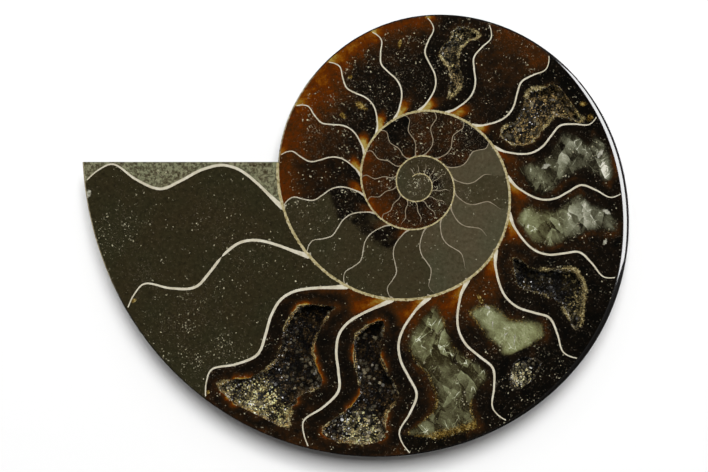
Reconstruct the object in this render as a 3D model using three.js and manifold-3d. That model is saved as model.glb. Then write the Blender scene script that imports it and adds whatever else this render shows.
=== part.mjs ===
// One half of a sawn and polished ammonite, lying on its flank with the cut face up.
// Millimetres, +Z up. The origin is under the middle of the outline, on the surface it lies on.
import * as THREE from 'three';
import { mergeVertices } from 'three/addons/utils/BufferGeometryUtils.js';
import Module from 'manifold-3d';

// Overall size
const THICKNESS = 18;
const COIL_AXIS = { x: 15.33, y: 12.57 };
const APERTURE_OFFSET = 5.9;

// Radius of the coiled outer wall at each eighth of a turn. Growth angles are degrees, clockwise
// seen from above and starting at +X, and one more turn of growth adds 360.
const WALL_START = -450;
const WALL_STEP = 45;
const WALL_RADII = [
  18.5, 20.4, 22.8, 25.65, 28.3, 31.4, 34.7, 37.8,
  42.4, 46.95, 52.4, 60, 67.2, 75.4, 83.25, 91.5,
];

// Rounded rim between the polished face and the widest part of the shell: [growth angle, width]
const RIM_WIDTHS = [
  [-200, 0.35], [-75, 0.4], [-45, 0.6], [-30, 1.2], [-10, 1.6], [10, 1.75],
  [30, 1.5], [50, 1.3], [70, 0.7], [90, 0.4], [230, 0.35],
];
const RIM_DEPTH_RATIO = 1.6;
const KEEL_HEIGHT = 1.5;

// Back of the half: a flank that curves up to the keel from a level zone around the umbilicus
const LEVEL_SHARE = 0.42;
const FLANK_EXPONENT = 0.7;
const FLANK_STEPS = [0.97, 0.9, 0.8, 0.68, 0.54, 0.38, 0.2, 0];
const START_LIFT = 6.5;
const START_ANGLES = [-150, -60];
const UMBILICUS_START_RADIUS = 9.2;
const UMBILICUS_END_RADIUS = 13;
const UMBILICUS_SHOULDER = 0.8;
const HUB = { radius: 8, height: 8 };
const HUB_RINGS = [[5, 9.2], [2.2, 9.8]];
const HUB_TOP = 10;
const COLUMNS = 108;
const RIM_STEPS = [0, 30, 60, 90];

// Wavy septum between two chambers: [share of the way across the whorl, degrees behind its belly]
const SEPTUM_WAVE = [
  [0, -12.5], [0.05, -6.8], [0.1, -4], [0.18, -1.2], [0.27, 0], [0.38, -1],
  [0.5, -4.1], [0.61, -6.5], [0.73, -4.9], [0.84, -2.8], [0.92, -3.6], [1, -5.6],
];

// Open hollows: the growth angles of the two septa at their bellies, the depth at the inner and
// outer end, the number of crystals and the largest one's radius, and the outline as [share across
// the whorl, start and end of the opening as shares of the way from the first septum to the second].
const HOLLOWS = [
  {
    name: 'crystal_crust_top',
    septa: [-79.8, -59.2],
    depths: [3.6, 4.4],
    crystals: 10,
    largest: 1.3,
    outline: [
      [0.15, 0.52, 0.58], [0.25, 0.4, 0.62], [0.36, 0.36, 0.68], [0.47, 0.34, 0.62], [0.58, 0.285, 0.67],
      [0.66, 0.28, 0.665], [0.75, 0.32, 0.68], [0.85, 0.27, 0.71], [0.89, 0.36, 0.55],
    ],
  },
  {
    name: 'crystal_crust_upper_right',
    septa: [-37.9, -16],
    depths: [5, 5],
    crystals: 14,
    largest: 1.7,
    outline: [
      [0.115, 0.45, 0.6], [0.15, 0.3, 0.74], [0.22, 0.205, 0.78], [0.31, 0.21, 0.8], [0.45, 0.18, 0.775],
      [0.58, 0.165, 0.815], [0.67, 0.225, 0.84], [0.74, 0.23, 0.91], [0.79, 0.2, 0.93], [0.825, 0.3, 0.86],
    ],
  },
  {
    name: 'crystal_crust_right',
    septa: [28.9, 51.6],
    depths: [6.5, 5],
    crystals: 14,
    largest: 1.7,
    outline: [
      [0.145, 0.44, 0.5], [0.2, 0.34, 0.58], [0.28, 0.32, 0.69], [0.4, 0.267, 0.67], [0.48, 0.245, 0.69],
      [0.56, 0.265, 0.735], [0.63, 0.275, 0.75], [0.7, 0.29, 0.75], [0.76, 0.39, 0.75], [0.8, 0.53, 0.75],
      [0.83, 0.65, 0.71],
    ],
  },
  {
    name: 'crystal_crust_lower_right',
    septa: [51.6, 74.1],
    depths: [2.2, 2.8],
    crystals: 8,
    largest: 0.9,
    outline: [
      [0.66, 0.6, 0.7], [0.7, 0.48, 0.77], [0.75, 0.36, 0.78], [0.8, 0.33, 0.75], [0.84, 0.44, 0.64],
    ],
  },
  {
    name: 'crystal_crust_bottom',
    septa: [96.8, 117.8],
    depths: [8.5, 4.6],
    crystals: 16,
    largest: 1.7,
    outline: [
      [0.14, 0.46, 0.56], [0.18, 0.35, 0.65], [0.25, 0.305, 0.73], [0.35, 0.28, 0.71], [0.45, 0.26, 0.7],
      [0.53, 0.235, 0.7], [0.61, 0.23, 0.725], [0.71, 0.28, 0.745], [0.78, 0.22, 0.78], [0.85, 0.16, 0.825],
      [0.9, 0.24, 0.8], [0.925, 0.42, 0.68],
    ],
  },
  {
    name: 'crystal_crust_lower_left',
    septa: [117.8, 140.2],
    depths: [8.5, 4.6],
    crystals: 18,
    largest: 1.7,
    outline: [
      [0.142, 0.37, 0.42], [0.175, 0.35, 0.58], [0.23, 0.3, 0.725], [0.31, 0.287, 0.736], [0.42, 0.3, 0.742],
      [0.52, 0.25, 0.757], [0.61, 0.2, 0.797], [0.7, 0.295, 0.8], [0.78, 0.24, 0.825], [0.86, 0.165, 0.875],
      [0.9, 0.18, 0.895], [0.925, 0.24, 0.72],
    ],
  },
];
const OUTLINE_STEPS = 16;

// Bowl of a hollow, the crust in it and the room that crystals may take, from the top down:
// [share of the depth, share of the opening]
const BOWL = [[0, 1], [0.35, 0.96], [0.8, 0.86], [1, 0.66]];
const CRUST = [[0.6, 0.72], [0.75, 0.68], [0.9, 0.5]];
const CRUST_ROOM = [[0.12, 0.76], [0.6, 0.74], [0.75, 0.7], [0.92, 0.52]];
const ABOVE_FACE = 1;

// Crystals: six-sided points
const CRYSTAL_SIZES = [0.55, 1];
const CRYSTAL_SLENDERNESS = [1.4, 2.1];
const CRYSTAL_SINK = 0.25;
const CRYSTAL_SPREAD = 0.62;
const CRYSTAL_TILT = 0.45;
const CRYSTAL_SIDES = 6;

const wasm = await Module();
wasm.setup();

// A smooth curve through [position, value] pairs
function curveThrough(pairs) {
  const positions = Float32Array.from(pairs, ([position]) => position);
  const values = Float32Array.from(pairs, ([, value]) => value);
  const curve = new THREE.CubicInterpolant(positions, values, 1);
  return (position) => curve.evaluate(position)[0];
}

const radiusLog = curveThrough(WALL_RADII.map((radius, i) => [WALL_START + i * WALL_STEP, Math.log(radius)]));
const rimWidth = curveThrough(RIM_WIDTHS);
const septumWave = curveThrough(SEPTUM_WAVE);
for (const hollow of HOLLOWS) {
  hollow.start = curveThrough(hollow.outline.map(([across, start]) => [across, start]));
  hollow.end = curveThrough(hollow.outline.map(([across, , end]) => [across, end]));
}

function wallRadius(angle) {
  return Math.exp(radiusLog(angle));
}

function pointAt(angle, radius, height) {
  const turn = THREE.MathUtils.degToRad(angle);
  return new THREE.Vector3(
    COIL_AXIS.x + radius * Math.cos(turn),
    COIL_AXIS.y - radius * Math.sin(turn),
    height,
  );
}

// Section through the last whorl at a growth angle: [radius, height] from the face edge to the hub
function whorlSection(angle) {
  const outer = wallRadius(angle);
  const rim = rimWidth(angle);
  const keelTop = THICKNESS - rim * RIM_DEPTH_RATIO;
  const keelFoot = keelTop - KEEL_HEIGHT;
  const started = THREE.MathUtils.smoothstep(angle, ...START_ANGLES);
  const level = START_LIFT * (1 - started);
  const turned = THREE.MathUtils.clamp((angle + 180) / 360, 0, 1);
  const umbilicus = THREE.MathUtils.lerp(UMBILICUS_START_RADIUS, UMBILICUS_END_RADIUS, turned);
  const levelEnd = umbilicus + LEVEL_SHARE * (outer - umbilicus);
  const rows = RIM_STEPS.map((degrees) => {
    const swing = THREE.MathUtils.degToRad(degrees);
    return [outer - rim * (1 - Math.sin(swing)), keelTop + (THICKNESS - keelTop) * Math.cos(swing)];
  });
  rows.push([outer, keelFoot]);
  for (const step of FLANK_STEPS) {
    const rise = 1 - (1 - step * step) ** FLANK_EXPONENT;
    rows.push([levelEnd + step * (outer - levelEnd), level + rise * (keelFoot - level)]);
  }
  rows.push([umbilicus + UMBILICUS_SHOULDER, level]);
  rows.push([umbilicus, level + UMBILICUS_SHOULDER * 0.7]);
  return rows;
}

const SECTION_ROWS = whorlSection(0).length;

// A point of the shell. The sawn aperture is a straight line beside the coil axis, so every
// column of points is that line turned about the axis.
function shellPoint(turnShare, row) {
  let angle = -180 + 360 * turnShare;
  let radius = HUB.radius;
  let height = HUB.height;
  for (let pass = 0; pass < 6; pass += 1) {
    [radius, height] = whorlSection(angle)[row];
    const lag = Math.asin(APERTURE_OFFSET / radius);
    angle = -180 + 360 * turnShare + THREE.MathUtils.radToDeg(lag);
  }
  return pointAt(angle, radius, height);
}

function hubPoint(turnShare, radius, height) {
  const lag = THREE.MathUtils.radToDeg(Math.asin(APERTURE_OFFSET / HUB.radius));
  return pointAt(-180 + 360 * turnShare + lag, radius, height);
}

// A closed mesh from points and triangles, as a solid
function solidFrom(points, triangles) {
  const mesh = new wasm.Mesh({
    numProp: 3,
    vertProperties: Float32Array.from(points.flatMap((point) => point.toArray())),
    triVerts: Uint32Array.from(triangles.flat()),
  });
  return new wasm.Manifold(mesh);
}

function solidFromGeometry(geometry) {
  const bare = new THREE.BufferGeometry();
  bare.setAttribute('position', geometry.getAttribute('position'));
  bare.setIndex(geometry.getIndex());
  const merged = mergeVertices(bare, 1e-4);
  const whole = [];
  const index = merged.getIndex().array;
  for (let i = 0; i < index.length; i += 3) {
    const corners = new Set(index.slice(i, i + 3));
    if (corners.size === 3) whole.push(...index.slice(i, i + 3));
  }
  const mesh = new wasm.Mesh({
    numProp: 3,
    vertProperties: merged.getAttribute('position').array,
    triVerts: Uint32Array.from(whole),
  });
  return new wasm.Manifold(mesh);
}

function geometryFrom(solid) {
  const mesh = solid.getMesh();
  const geometry = new THREE.BufferGeometry();
  geometry.setAttribute('position', new THREE.BufferAttribute(mesh.vertProperties, 3));
  geometry.setIndex(new THREE.BufferAttribute(mesh.triVerts, 1));
  geometry.computeVertexNormals();
  return geometry;
}

// Two triangles between neighbouring points of two rings
function band(ringA, ringB, next) {
  return ringA.slice(0, next ? ringA.length : -1).flatMap((a, i) => {
    const j = (i + 1) % ringA.length;
    return [[a, ringA[j], ringB[j]], [a, ringB[j], ringB[i]]];
  });
}

// The whole half before its hollows are opened
function shellSolid() {
  const points = [];
  const add = (point) => points.push(point) - 1;
  const shares = Array.from({ length: COLUMNS + 1 }, (_, i) => i / COLUMNS);
  const rows = [];
  for (let row = 0; row < SECTION_ROWS; row += 1) {
    rows.push(shares.map((share) => add(shellPoint(share, row))));
  }
  const triangles = [];
  for (let row = 0; row + 1 < SECTION_ROWS; row += 1) {
    triangles.push(...band(rows[row], rows[row + 1], false));
  }

  // Hub of the umbilicus: closed rings that run past the aperture without a step
  const rings = [[HUB.radius, HUB.height], ...HUB_RINGS].map(([radius, height]) =>
    shares.slice(0, -1).map((share) => add(hubPoint(share, radius, height))));
  const firstRing = [...rings[0], rings[0][0]];
  triangles.push(...band(rows[SECTION_ROWS - 1], firstRing, false));
  for (let i = 0; i + 1 < rings.length; i += 1) triangles.push(...band(rings[i], rings[i + 1], true));
  const top = add(new THREE.Vector3(COIL_AXIS.x, COIL_AXIS.y, HUB_TOP));
  const lastRing = rings.at(-1);
  lastRing.forEach((a, i) => triangles.push([a, lastRing[(i + 1) % lastRing.length], top]));

  // Polished face
  const facePlan = rows[0].map((i) => new THREE.Vector2(points[i].x, points[i].y));
  for (const corners of THREE.ShapeUtils.triangulateShape(facePlan, [])) {
    triangles.push(corners.map((i) => rows[0][i]));
  }

  // Sawn aperture, from the face down to the hub
  const endLoop = rows.map((row) => row.at(-1));
  const startLoop = rows.map((row) => row[0]).reverse();
  const apertureLoop = [...endLoop, rings[0][0], ...startLoop];
  const aperturePlan = apertureLoop.map((i) => {
    const reach = Math.hypot(points[i].x - COIL_AXIS.x, points[i].y - COIL_AXIS.y);
    return new THREE.Vector2(reach, points[i].z);
  });
  for (const corners of THREE.ShapeUtils.triangulateShape(aperturePlan, [])) {
    triangles.push(corners.map((i) => apertureLoop[i]));
  }
  return solidFrom(points, triangles);
}

// Shares of a point of a hollow: x from septum to septum, y across the whorl. The point lies a share
// of the way along the hollow, and beside its middle line by a share of half its width. A narrowed
// hollow loses half as much of its length as of its width.
function hollowShare(hollow, along, beside, openShare) {
  const first = hollow.outline[0][0];
  const last = hollow.outline.at(-1)[0];
  const across = THREE.MathUtils.lerp(first, last, 0.5 + ((along - 0.5) * (1 + openShare)) / 2);
  const start = hollow.start(across);
  const end = hollow.end(across);
  return new THREE.Vector2((start + end) / 2 + (beside * (end - start)) / 2, across);
}

// A point of a hollow, from its shares and its share of the depth there
function hollowPoint(hollow, share, depthShare) {
  const first = hollow.outline[0][0];
  const last = hollow.outline.at(-1)[0];
  const depth = THREE.MathUtils.lerp(...hollow.depths, (share.y - first) / (last - first));
  const angle = THREE.MathUtils.lerp(...hollow.septa, share.x) + septumWave(share.y);
  const inner = wallRadius(angle - 360);
  const radius = inner + share.y * (wallRadius(angle) - inner);
  return pointAt(angle, radius, THICKNESS - depth * depthShare);
}

// A closed solid lofted through shrunken copies of a hollow's outline, level by level downwards
function hollowLoft(hollow, levels) {
  const points = [];
  const add = (point) => points.push(point) - 1;
  const steps = Array.from({ length: OUTLINE_STEPS + 1 }, (_, i) => i / OUTLINE_STEPS);
  const sides = levels.map(([depthShare, openShare]) => [-openShare, openShare].map((beside) =>
    steps.map((along) => add(hollowPoint(hollow, hollowShare(hollow, along, beside, openShare), depthShare)))));
  const rings = sides.map(([left, right]) => [...left, ...right.toReversed()]);
  const triangles = [];
  for (let i = 0; i + 1 < rings.length; i += 1) triangles.push(...band(rings[i], rings[i + 1], true));
  triangles.push(...band(...sides.at(-1), false));
  triangles.push(...band(...sides[0].toReversed(), false));
  const solid = solidFrom(points, triangles);
  return solid.volume() > 0 ? solid : solidFrom(points, triangles.map((corners) => corners.toReversed()));
}

function bowlSolid(hollow) {
  const lift = -ABOVE_FACE / Math.max(...hollow.depths);
  return hollowLoft(hollow, [[lift, 1], ...BOWL]);
}

// A steady sequence of numbers between 0 and 1
function numberSequence(seed) {
  let state = seed;
  return () => {
    state = (state * 16807) % 2147483647;
    return state / 2147483647;
  };
}

// Crust of crystals in a hollow, clear of its bowl
function crustSolid(hollow, order) {
  const random = numberSequence(101 + 37 * order);
  const between = ([low, high]) => THREE.MathUtils.lerp(low, high, random());
  const pieces = [hollowLoft(hollow, CRUST)];
  for (let i = 0; i < hollow.crystals; i += 1) {
    const along = (i + random()) / hollow.crystals;
    const share = hollowShare(hollow, along, CRYSTAL_SPREAD * (2 * random() - 1), CRYSTAL_SPREAD);
    const radius = hollow.largest * between(CRYSTAL_SIZES);
    const length = radius * between(CRYSTAL_SLENDERNESS);
    const geometry = new THREE.ConeGeometry(radius, length, CRYSTAL_SIDES);
    geometry.translate(0, length / 2, 0);
    geometry.rotateX(Math.PI / 2 + CRYSTAL_TILT * (random() - 0.5));
    geometry.rotateZ(2 * Math.PI * random());
    const foot = hollowPoint(hollow, share, CRUST[0][0]);
    geometry.translate(foot.x, foot.y, foot.z - CRYSTAL_SINK * hollow.largest);
    pieces.push(solidFromGeometry(geometry));
  }
  const room = hollowLoft(hollow, CRUST_ROOM);
  const bodies = wasm.Manifold.union(pieces).intersect(room).decompose();
  return bodies.sort((a, b) => b.volume() - a.volume())[0];
}

function namedMesh(name, solid, material) {
  const mesh = new THREE.Mesh(geometryFrom(solid), material);
  mesh.name = name;
  return mesh;
}

const stone = new THREE.MeshStandardMaterial({ color: 0x3a2a18, roughness: 0.25, flatShading: true });
const crystal = new THREE.MeshStandardMaterial({ color: 0x8a8060, roughness: 0.3, flatShading: true });

const half = new THREE.Group();
const openedHalf = HOLLOWS.reduce((solid, hollow) => solid.subtract(bowlSolid(hollow)), shellSolid());
half.add(namedMesh('ammonite_half', openedHalf, stone));
HOLLOWS.forEach((hollow, order) => {
  half.add(namedMesh(hollow.name, crustSolid(hollow, order), crystal));
});

export default half;
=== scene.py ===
"""Looks of a sawn and polished ammonite half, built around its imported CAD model.

Lengths are millimetres until a mesh is made, and growth angles are degrees, clockwise seen from above.
"""
import math

import bpy
import numpy as np
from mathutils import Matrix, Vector, noise
from mathutils.geometry import delaunay_2d_cdt
from mathutils.kdtree import KDTree


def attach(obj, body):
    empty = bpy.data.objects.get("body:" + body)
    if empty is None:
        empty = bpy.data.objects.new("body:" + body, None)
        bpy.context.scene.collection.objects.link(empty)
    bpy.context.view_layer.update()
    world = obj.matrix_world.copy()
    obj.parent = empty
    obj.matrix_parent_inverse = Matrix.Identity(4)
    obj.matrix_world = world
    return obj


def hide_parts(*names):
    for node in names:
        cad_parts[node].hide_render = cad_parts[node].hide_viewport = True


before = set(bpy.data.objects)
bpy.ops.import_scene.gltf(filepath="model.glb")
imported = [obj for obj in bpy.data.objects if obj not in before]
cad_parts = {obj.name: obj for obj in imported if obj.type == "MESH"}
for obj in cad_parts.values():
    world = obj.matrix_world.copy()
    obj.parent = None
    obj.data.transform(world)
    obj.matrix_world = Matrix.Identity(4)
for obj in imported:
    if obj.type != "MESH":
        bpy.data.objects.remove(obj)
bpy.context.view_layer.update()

MM = 0.001

# The coil, as in the CAD source
THICKNESS = 18.0
COIL_X, COIL_Y = 15.33, 12.57
APERTURE_OFFSET = 5.9
WALL_START, WALL_STEP = -1440, 45
WALL_RADII = [
    1.5, 1.6, 1.75, 1.9, 2.1, 2.4, 2.9, 3.35, 3.65, 3.78, 3.95, 4.45, 5.15, 6.2, 7.3, 8.2, 9.1, 9.95, 10.9,
    12.2, 13.9, 16.1, 18.5, 20.4, 22.8, 25.65, 28.3, 31.4, 34.7, 37.8, 42.4, 46.95, 52.4, 60, 67.2, 75.4,
    83.25, 91.5,
]
RIM_WIDTHS = [
    (-200, 0.35), (-75, 0.4), (-45, 0.6), (-30, 1.2), (-10, 1.6), (10, 1.75),
    (30, 1.5), (50, 1.3), (70, 0.7), (90, 0.4), (230, 0.35),
]
RIM_DEPTH_RATIO = 1.6
KEEL_HEIGHT = 1.5
LEVEL_SHARE = 0.42
FLANK_EXPONENT = 0.7
START_LIFT = 6.5
START_ANGLES = (-150, -60)
UMBILICUS_RADII = (9.2, 13.0)
UMBILICUS_SHOULDER = 0.8
UMBILICUS_LIP = 0.56
HUB_RADIUS, HUB_HEIGHT = 8.0, 8.0
HUB_RINGS = [(6.6, 8.6), (5.0, 9.2), (3.6, 9.55), (2.2, 9.8), (1.0, 9.95)]
HUB_TOP = 10.0

# Septa: growth angle at the belly of each, how far across the whorl the shorter ones reach, and their wave
# in the last, late, middle and early growth as degrees behind the belly at shares of the way across
SEPTA = np.array([
    -829, -806, -783, -760, -737, -705.6, -681.9, -655.4, -629.8, -603, -576.2, -549.6, -524.4, -499.1,
    -476, -452.7, -430, -407.4, -384.2, -362.2, -340.1, -318.4, -295.7, -272.1, -249.3, -225.8, -203.4,
    -181, -160.4, -139.8, -118.9, -99.6, -79.8, -59.2, -37.9, -16, 6.4, 28.9, 51.6, 74.1, 96.8, 117.8,
    140.2, 162.2, 186.0,
])
FREE_ENDS = {
    -829: 0.5, -806: 0.55, -783: 0.6, -760: 0.65, -737: 0.75, -705.6: 0.8, -681.9: 0.8, -655.4: 0.85,
    -629.8: 0.85, -603: 0.88, -362.2: 0.74, -340.1: 0.86, -318.4: 0.76, -295.7: 0.84, -272.1: 0.97,
}
LAST_GROWTH, LATE_GROWTH, EARLY_GROWTH = (90, 117), (-40, 10), (-440, -470)
WAVE_ACROSS = [0, 0.05, 0.1, 0.18, 0.27, 0.38, 0.5, 0.61, 0.73, 0.84, 0.92, 1]
LAST_WAVE = [-15.5, -10.3, -5.9, -1.5, 0, -1.6, -4.8, -6.75, -4.8, -2.0, -3.2, -5.5]
LATE_WAVE = [-12.5, -6.8, -4, -1.2, 0, -1, -4.1, -6.5, -4.9, -2.8, -3.6, -5.6]
MIDDLE_WAVE = [-10, -5.5, -3.2, -0.8, 0, -1.4, -4.8, -7, -5.9, -4.3, -5.4, -7.8]
EARLY_WAVE = [10, 5, 2.2, 0.3, 0, -1.4, -4.6, -6.6, -5.4, -4, -5.2, -8.4]

# Open hollows, as in the CAD source: angles of their two septa, depth at the inner and outer end, and
# outline as share across the whorl and start and end shares from the first septum to the second. Round the
# opening, the face has an amber glow and a width of pale crystal crumbs
HOLLOWS = {
    "crystal_crust_top": {
        "septa": (-79.8, -59.2), "depths": (3.6, 4.4), "amber": 0.2, "crumb": 0.55,
        "outline": [
            (0.15, 0.52, 0.58), (0.25, 0.4, 0.62), (0.36, 0.36, 0.68), (0.47, 0.34, 0.62),
            (0.58, 0.285, 0.67), (0.66, 0.28, 0.665), (0.75, 0.32, 0.68), (0.85, 0.27, 0.71),
            (0.89, 0.36, 0.55),
        ],
    },
    "crystal_crust_upper_right": {
        "septa": (-37.9, -16), "depths": (5, 5), "amber": 0.3, "crumb": 0.65,
        "outline": [
            (0.115, 0.45, 0.6), (0.15, 0.3, 0.74), (0.22, 0.205, 0.78), (0.31, 0.21, 0.8),
            (0.45, 0.18, 0.775), (0.58, 0.165, 0.815), (0.67, 0.225, 0.84), (0.74, 0.23, 0.91),
            (0.79, 0.2, 0.93), (0.825, 0.3, 0.86),
        ],
    },
    "crystal_crust_right": {
        "septa": (28.9, 51.6), "depths": (6.5, 5), "amber": 0.12, "crumb": 0.85,
        "outline": [
            (0.145, 0.44, 0.5), (0.2, 0.34, 0.58), (0.28, 0.32, 0.69), (0.4, 0.267, 0.67),
            (0.48, 0.245, 0.69), (0.56, 0.265, 0.735), (0.63, 0.275, 0.75), (0.7, 0.29, 0.75),
            (0.76, 0.39, 0.75), (0.8, 0.53, 0.75), (0.83, 0.65, 0.71),
        ],
    },
    "crystal_crust_lower_right": {
        "septa": (51.6, 74.1), "depths": (2.2, 2.8), "amber": 0.0, "crumb": 0.06,
        "outline": [
            (0.66, 0.6, 0.7), (0.7, 0.48, 0.77), (0.75, 0.36, 0.78), (0.8, 0.33, 0.75), (0.84, 0.44, 0.64),
        ],
    },
    "crystal_crust_bottom": {
        "septa": (96.8, 117.8), "depths": (8.5, 4.6), "amber": 0.7, "crumb": 0.4,
        "outline": [
            (0.14, 0.46, 0.56), (0.18, 0.35, 0.65), (0.25, 0.305, 0.73), (0.35, 0.28, 0.71),
            (0.45, 0.26, 0.7), (0.53, 0.235, 0.7), (0.61, 0.23, 0.725), (0.71, 0.28, 0.745),
            (0.78, 0.22, 0.78), (0.85, 0.16, 0.825), (0.9, 0.24, 0.8), (0.925, 0.42, 0.68),
        ],
    },
    "crystal_crust_lower_left": {
        "septa": (117.8, 140.2), "depths": (8.5, 4.6), "amber": 0.8, "crumb": 0.4,
        "outline": [
            (0.142, 0.37, 0.42), (0.175, 0.35, 0.58), (0.23, 0.3, 0.725), (0.31, 0.287, 0.736),
            (0.42, 0.3, 0.742), (0.52, 0.25, 0.757), (0.61, 0.2, 0.797), (0.7, 0.295, 0.8),
            (0.78, 0.24, 0.825), (0.86, 0.165, 0.875), (0.9, 0.18, 0.895), (0.925, 0.24, 0.72),
        ],
    },
}
BOWL_RINGS = [
    (0, 1), (0.1, 0.99), (0.22, 0.98), (0.35, 0.96), (0.5, 0.93), (0.65, 0.9), (0.8, 0.86), (0.92, 0.77),
    (1, 0.66), (0.98, 0.5), (1, 0.34), (0.98, 0.18), (1, 0.04),
]
FLOOR_LUMPS = 1.1
LUMP_SCALE = 0.32
LUMP_DEPTHS = (0.5, 1)
FLOOR_START = 8
HOLLOW_STEPS = 44
HOLLOW_JITTER = 0.018
HOLLOW_ROUGHNESS = 0.03
HOLLOW_CALMING = 0.7

# Looks of each hollow's crystals: at the rim, on its floor, and where they gather in pale heaps, with
# the place and radius of each heap
CRUSTS = {
    "crystal_crust_top": {
        "rim": (190, 172, 120), "floor": (128, 112, 78), "heap": (164, 150, 110),
        "heaps": [(25.6, 49.0, 3.0), (22.0, 44.0, 2.5)],
    },
    "crystal_crust_upper_right": {
        "rim": (196, 176, 118), "floor": (142, 120, 78), "heap": (196, 172, 100),
        "heaps": [(51.0, 25.5, 2.5), (57.5, 30.0, 3)],
    },
    "crystal_crust_right": {
        "rim": (140, 124, 82), "floor": (54, 46, 29), "heap": (150, 136, 94),
        "heaps": [(56.8, -17.5, 4.2), (55.0, -9.5, 2.5)],
    },
    "crystal_crust_lower_right": {
        "rim": (60, 50, 32), "floor": (26, 21, 14), "heap": (214, 202, 156),
        "heaps": [(41.0, -34.8, 3.4)],
    },
    "crystal_crust_bottom": {
        "rim": (150, 124, 76), "floor": (58, 45, 27), "heap": (240, 222, 158),
        "heaps": [(1.5, -49.0, 5.2)],
    },
    "crystal_crust_lower_left": {
        "rim": (156, 130, 80), "floor": (64, 51, 32), "heap": (232, 214, 150),
        "heaps": [(-24.5, -41.0, 6.0), (-17.5, -45.5, 3.5), (-33, -38, 3)],
    },
}
HEAP_EDGE = (0.45, 1.2)

# Filling of each chamber in order of growth, from the core outwards: glow of the calcite at four
# shares across the whorl, share of matrix at the inner and outer end, its lightness, and specks
GLOW_ACROSS = np.array([0.08, 0.36, 0.66, 0.95])
CHAMBER_LOOKS = np.array([
    (0.3, 0.3, 0.3, 0.3, 0.9, 0.95, 0.4, 1.0),
    (0.2, 0.2, 0.2, 0.2, 0.6, 0.9, 0.3, 1.2), (0.2, 0.2, 0.2, 0.2, 0.5, 0.8, 0.3, 1.4),
    (0.2, 0.2, 0.2, 0.2, 0.4, 0.8, 0.28, 1.6), (0.2, 0.2, 0.2, 0.2, 0.4, 0.7, 0.28, 1.8),
    (0.2, 0.2, 0.2, 0.2, 0.4, 0.6, 0.3, 1.8), (0.2, 0.25, 0.25, 0.3, 0.4, 0.5, 0.3, 1.6),
    (0.2, 0.3, 0.3, 0.35, 0.3, 0.4, 0.3, 1.5), (0.2, 0.3, 0.3, 0.4, 0.1, 0.2, 0.3, 1.5),
    (0.25, 0.32, 0.38, 0.45, 0, 0, 0.3, 1.4), (0.28, 0.35, 0.42, 0.5, 0, 0, 0.3, 1.4),
    (0.28, 0.4, 0.5, 0.66, 0, 0, 0.3, 1.0), (0.3, 0.4, 0.46, 0.56, 0, 0, 0.3, 1.2),
    (0.3, 0.36, 0.44, 0.56, 0, 0, 0.3, 1.2), (0.28, 0.3, 0.36, 0.46, 0, 0, 0.3, 1.5),
    (0.25, 0.2, 0.1, 0.05, 0, 0.2, 0.1, 0.6), (0.3, 0.36, 0.36, 0.36, 0, 0, 0.3, 2.0),
    (0.28, 0.34, 0.34, 0.34, 0, 0, 0.3, 1.2), (0.28, 0.34, 0.28, 0.1, 0, 0, 0.3, 2.0),
    (0.2, 0.2, 0.2, 0.2, 1, 1, 0.6, 0.1), (0.2, 0.2, 0.2, 0.2, 1, 1, 0.44, 0.35),
    (0.2, 0.2, 0.2, 0.2, 1, 1, 0.6, 0.12), (0.2, 0.2, 0.2, 0.2, 1, 1, 0.6, 0.12),
    (0.2, 0.2, 0.2, 0.2, 1, 1, 0.54, 0.2), (0.2, 0.2, 0.2, 0.2, 0.75, 1, 0.36, 0.3),
    (0.15, 0.1, 0.1, 0.2, 0.4, 1, 0.3, 0.6), (0.15, 0.1, 0.1, 0.2, 0.45, 1, 0.28, 0.6),
    (0.12, 0.12, 0.15, 0.2, 0.1, 0.7, 0.26, 1.4),
    (0.15, 0.25, 0.3, 0.55, 0, 0, 0.3, 0.6), (0.2, 0.32, 0.44, 0.6, 0, 0, 0.3, 1.4),
    (0.15, 0.2, 0.52, 0.68, 0, 0, 0.3, 1.0), (0.15, 0.14, 0.26, 0.72, 0, 0, 0.3, 1.2),
    (0.2, 0.16, 0.22, 0.58, 0, 0, 0.3, 1.4), (0.2, 0.16, 0.2, 0.3, 0, 0, 0.3, 1.0),
    (0.25, 0.22, 0.3, 0.46, 0, 0, 0.3, 0.9), (0.3, 0.2, 0.2, 0.05, 0, 0, 0.3, 0.5),
    (0.35, 0.18, 0.18, 0.1, 0, 0, 0.3, 0.7), (0.4, 0.18, 0.18, 0.1, 0, 0, 0.3, 0.7),
    (0.45, 0.2, 0.15, 0.05, 0, 0, 0.3, 0.7), (0.45, 0.2, 0.15, 0.05, 0, 0, 0.3, 0.8),
    (0.5, 0.22, 0.2, 0.1, 0, 0, 0.3, 0.7), (0.5, 0.22, 0.25, 0.36, 0, 0, 0.3, 0.5),
    (0.5, 0.22, 0.25, 0.4, 0, 0, 0.3, 0.5), (0.2, 0.2, 0.2, 0.2, 1, 1, 0.2, 0.5),
    (0.2, 0.2, 0.2, 0.2, 1, 1, 0.2, 0.35), (0.2, 0.2, 0.2, 0.2, 1, 1, 0.82, 0.8),
])

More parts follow.
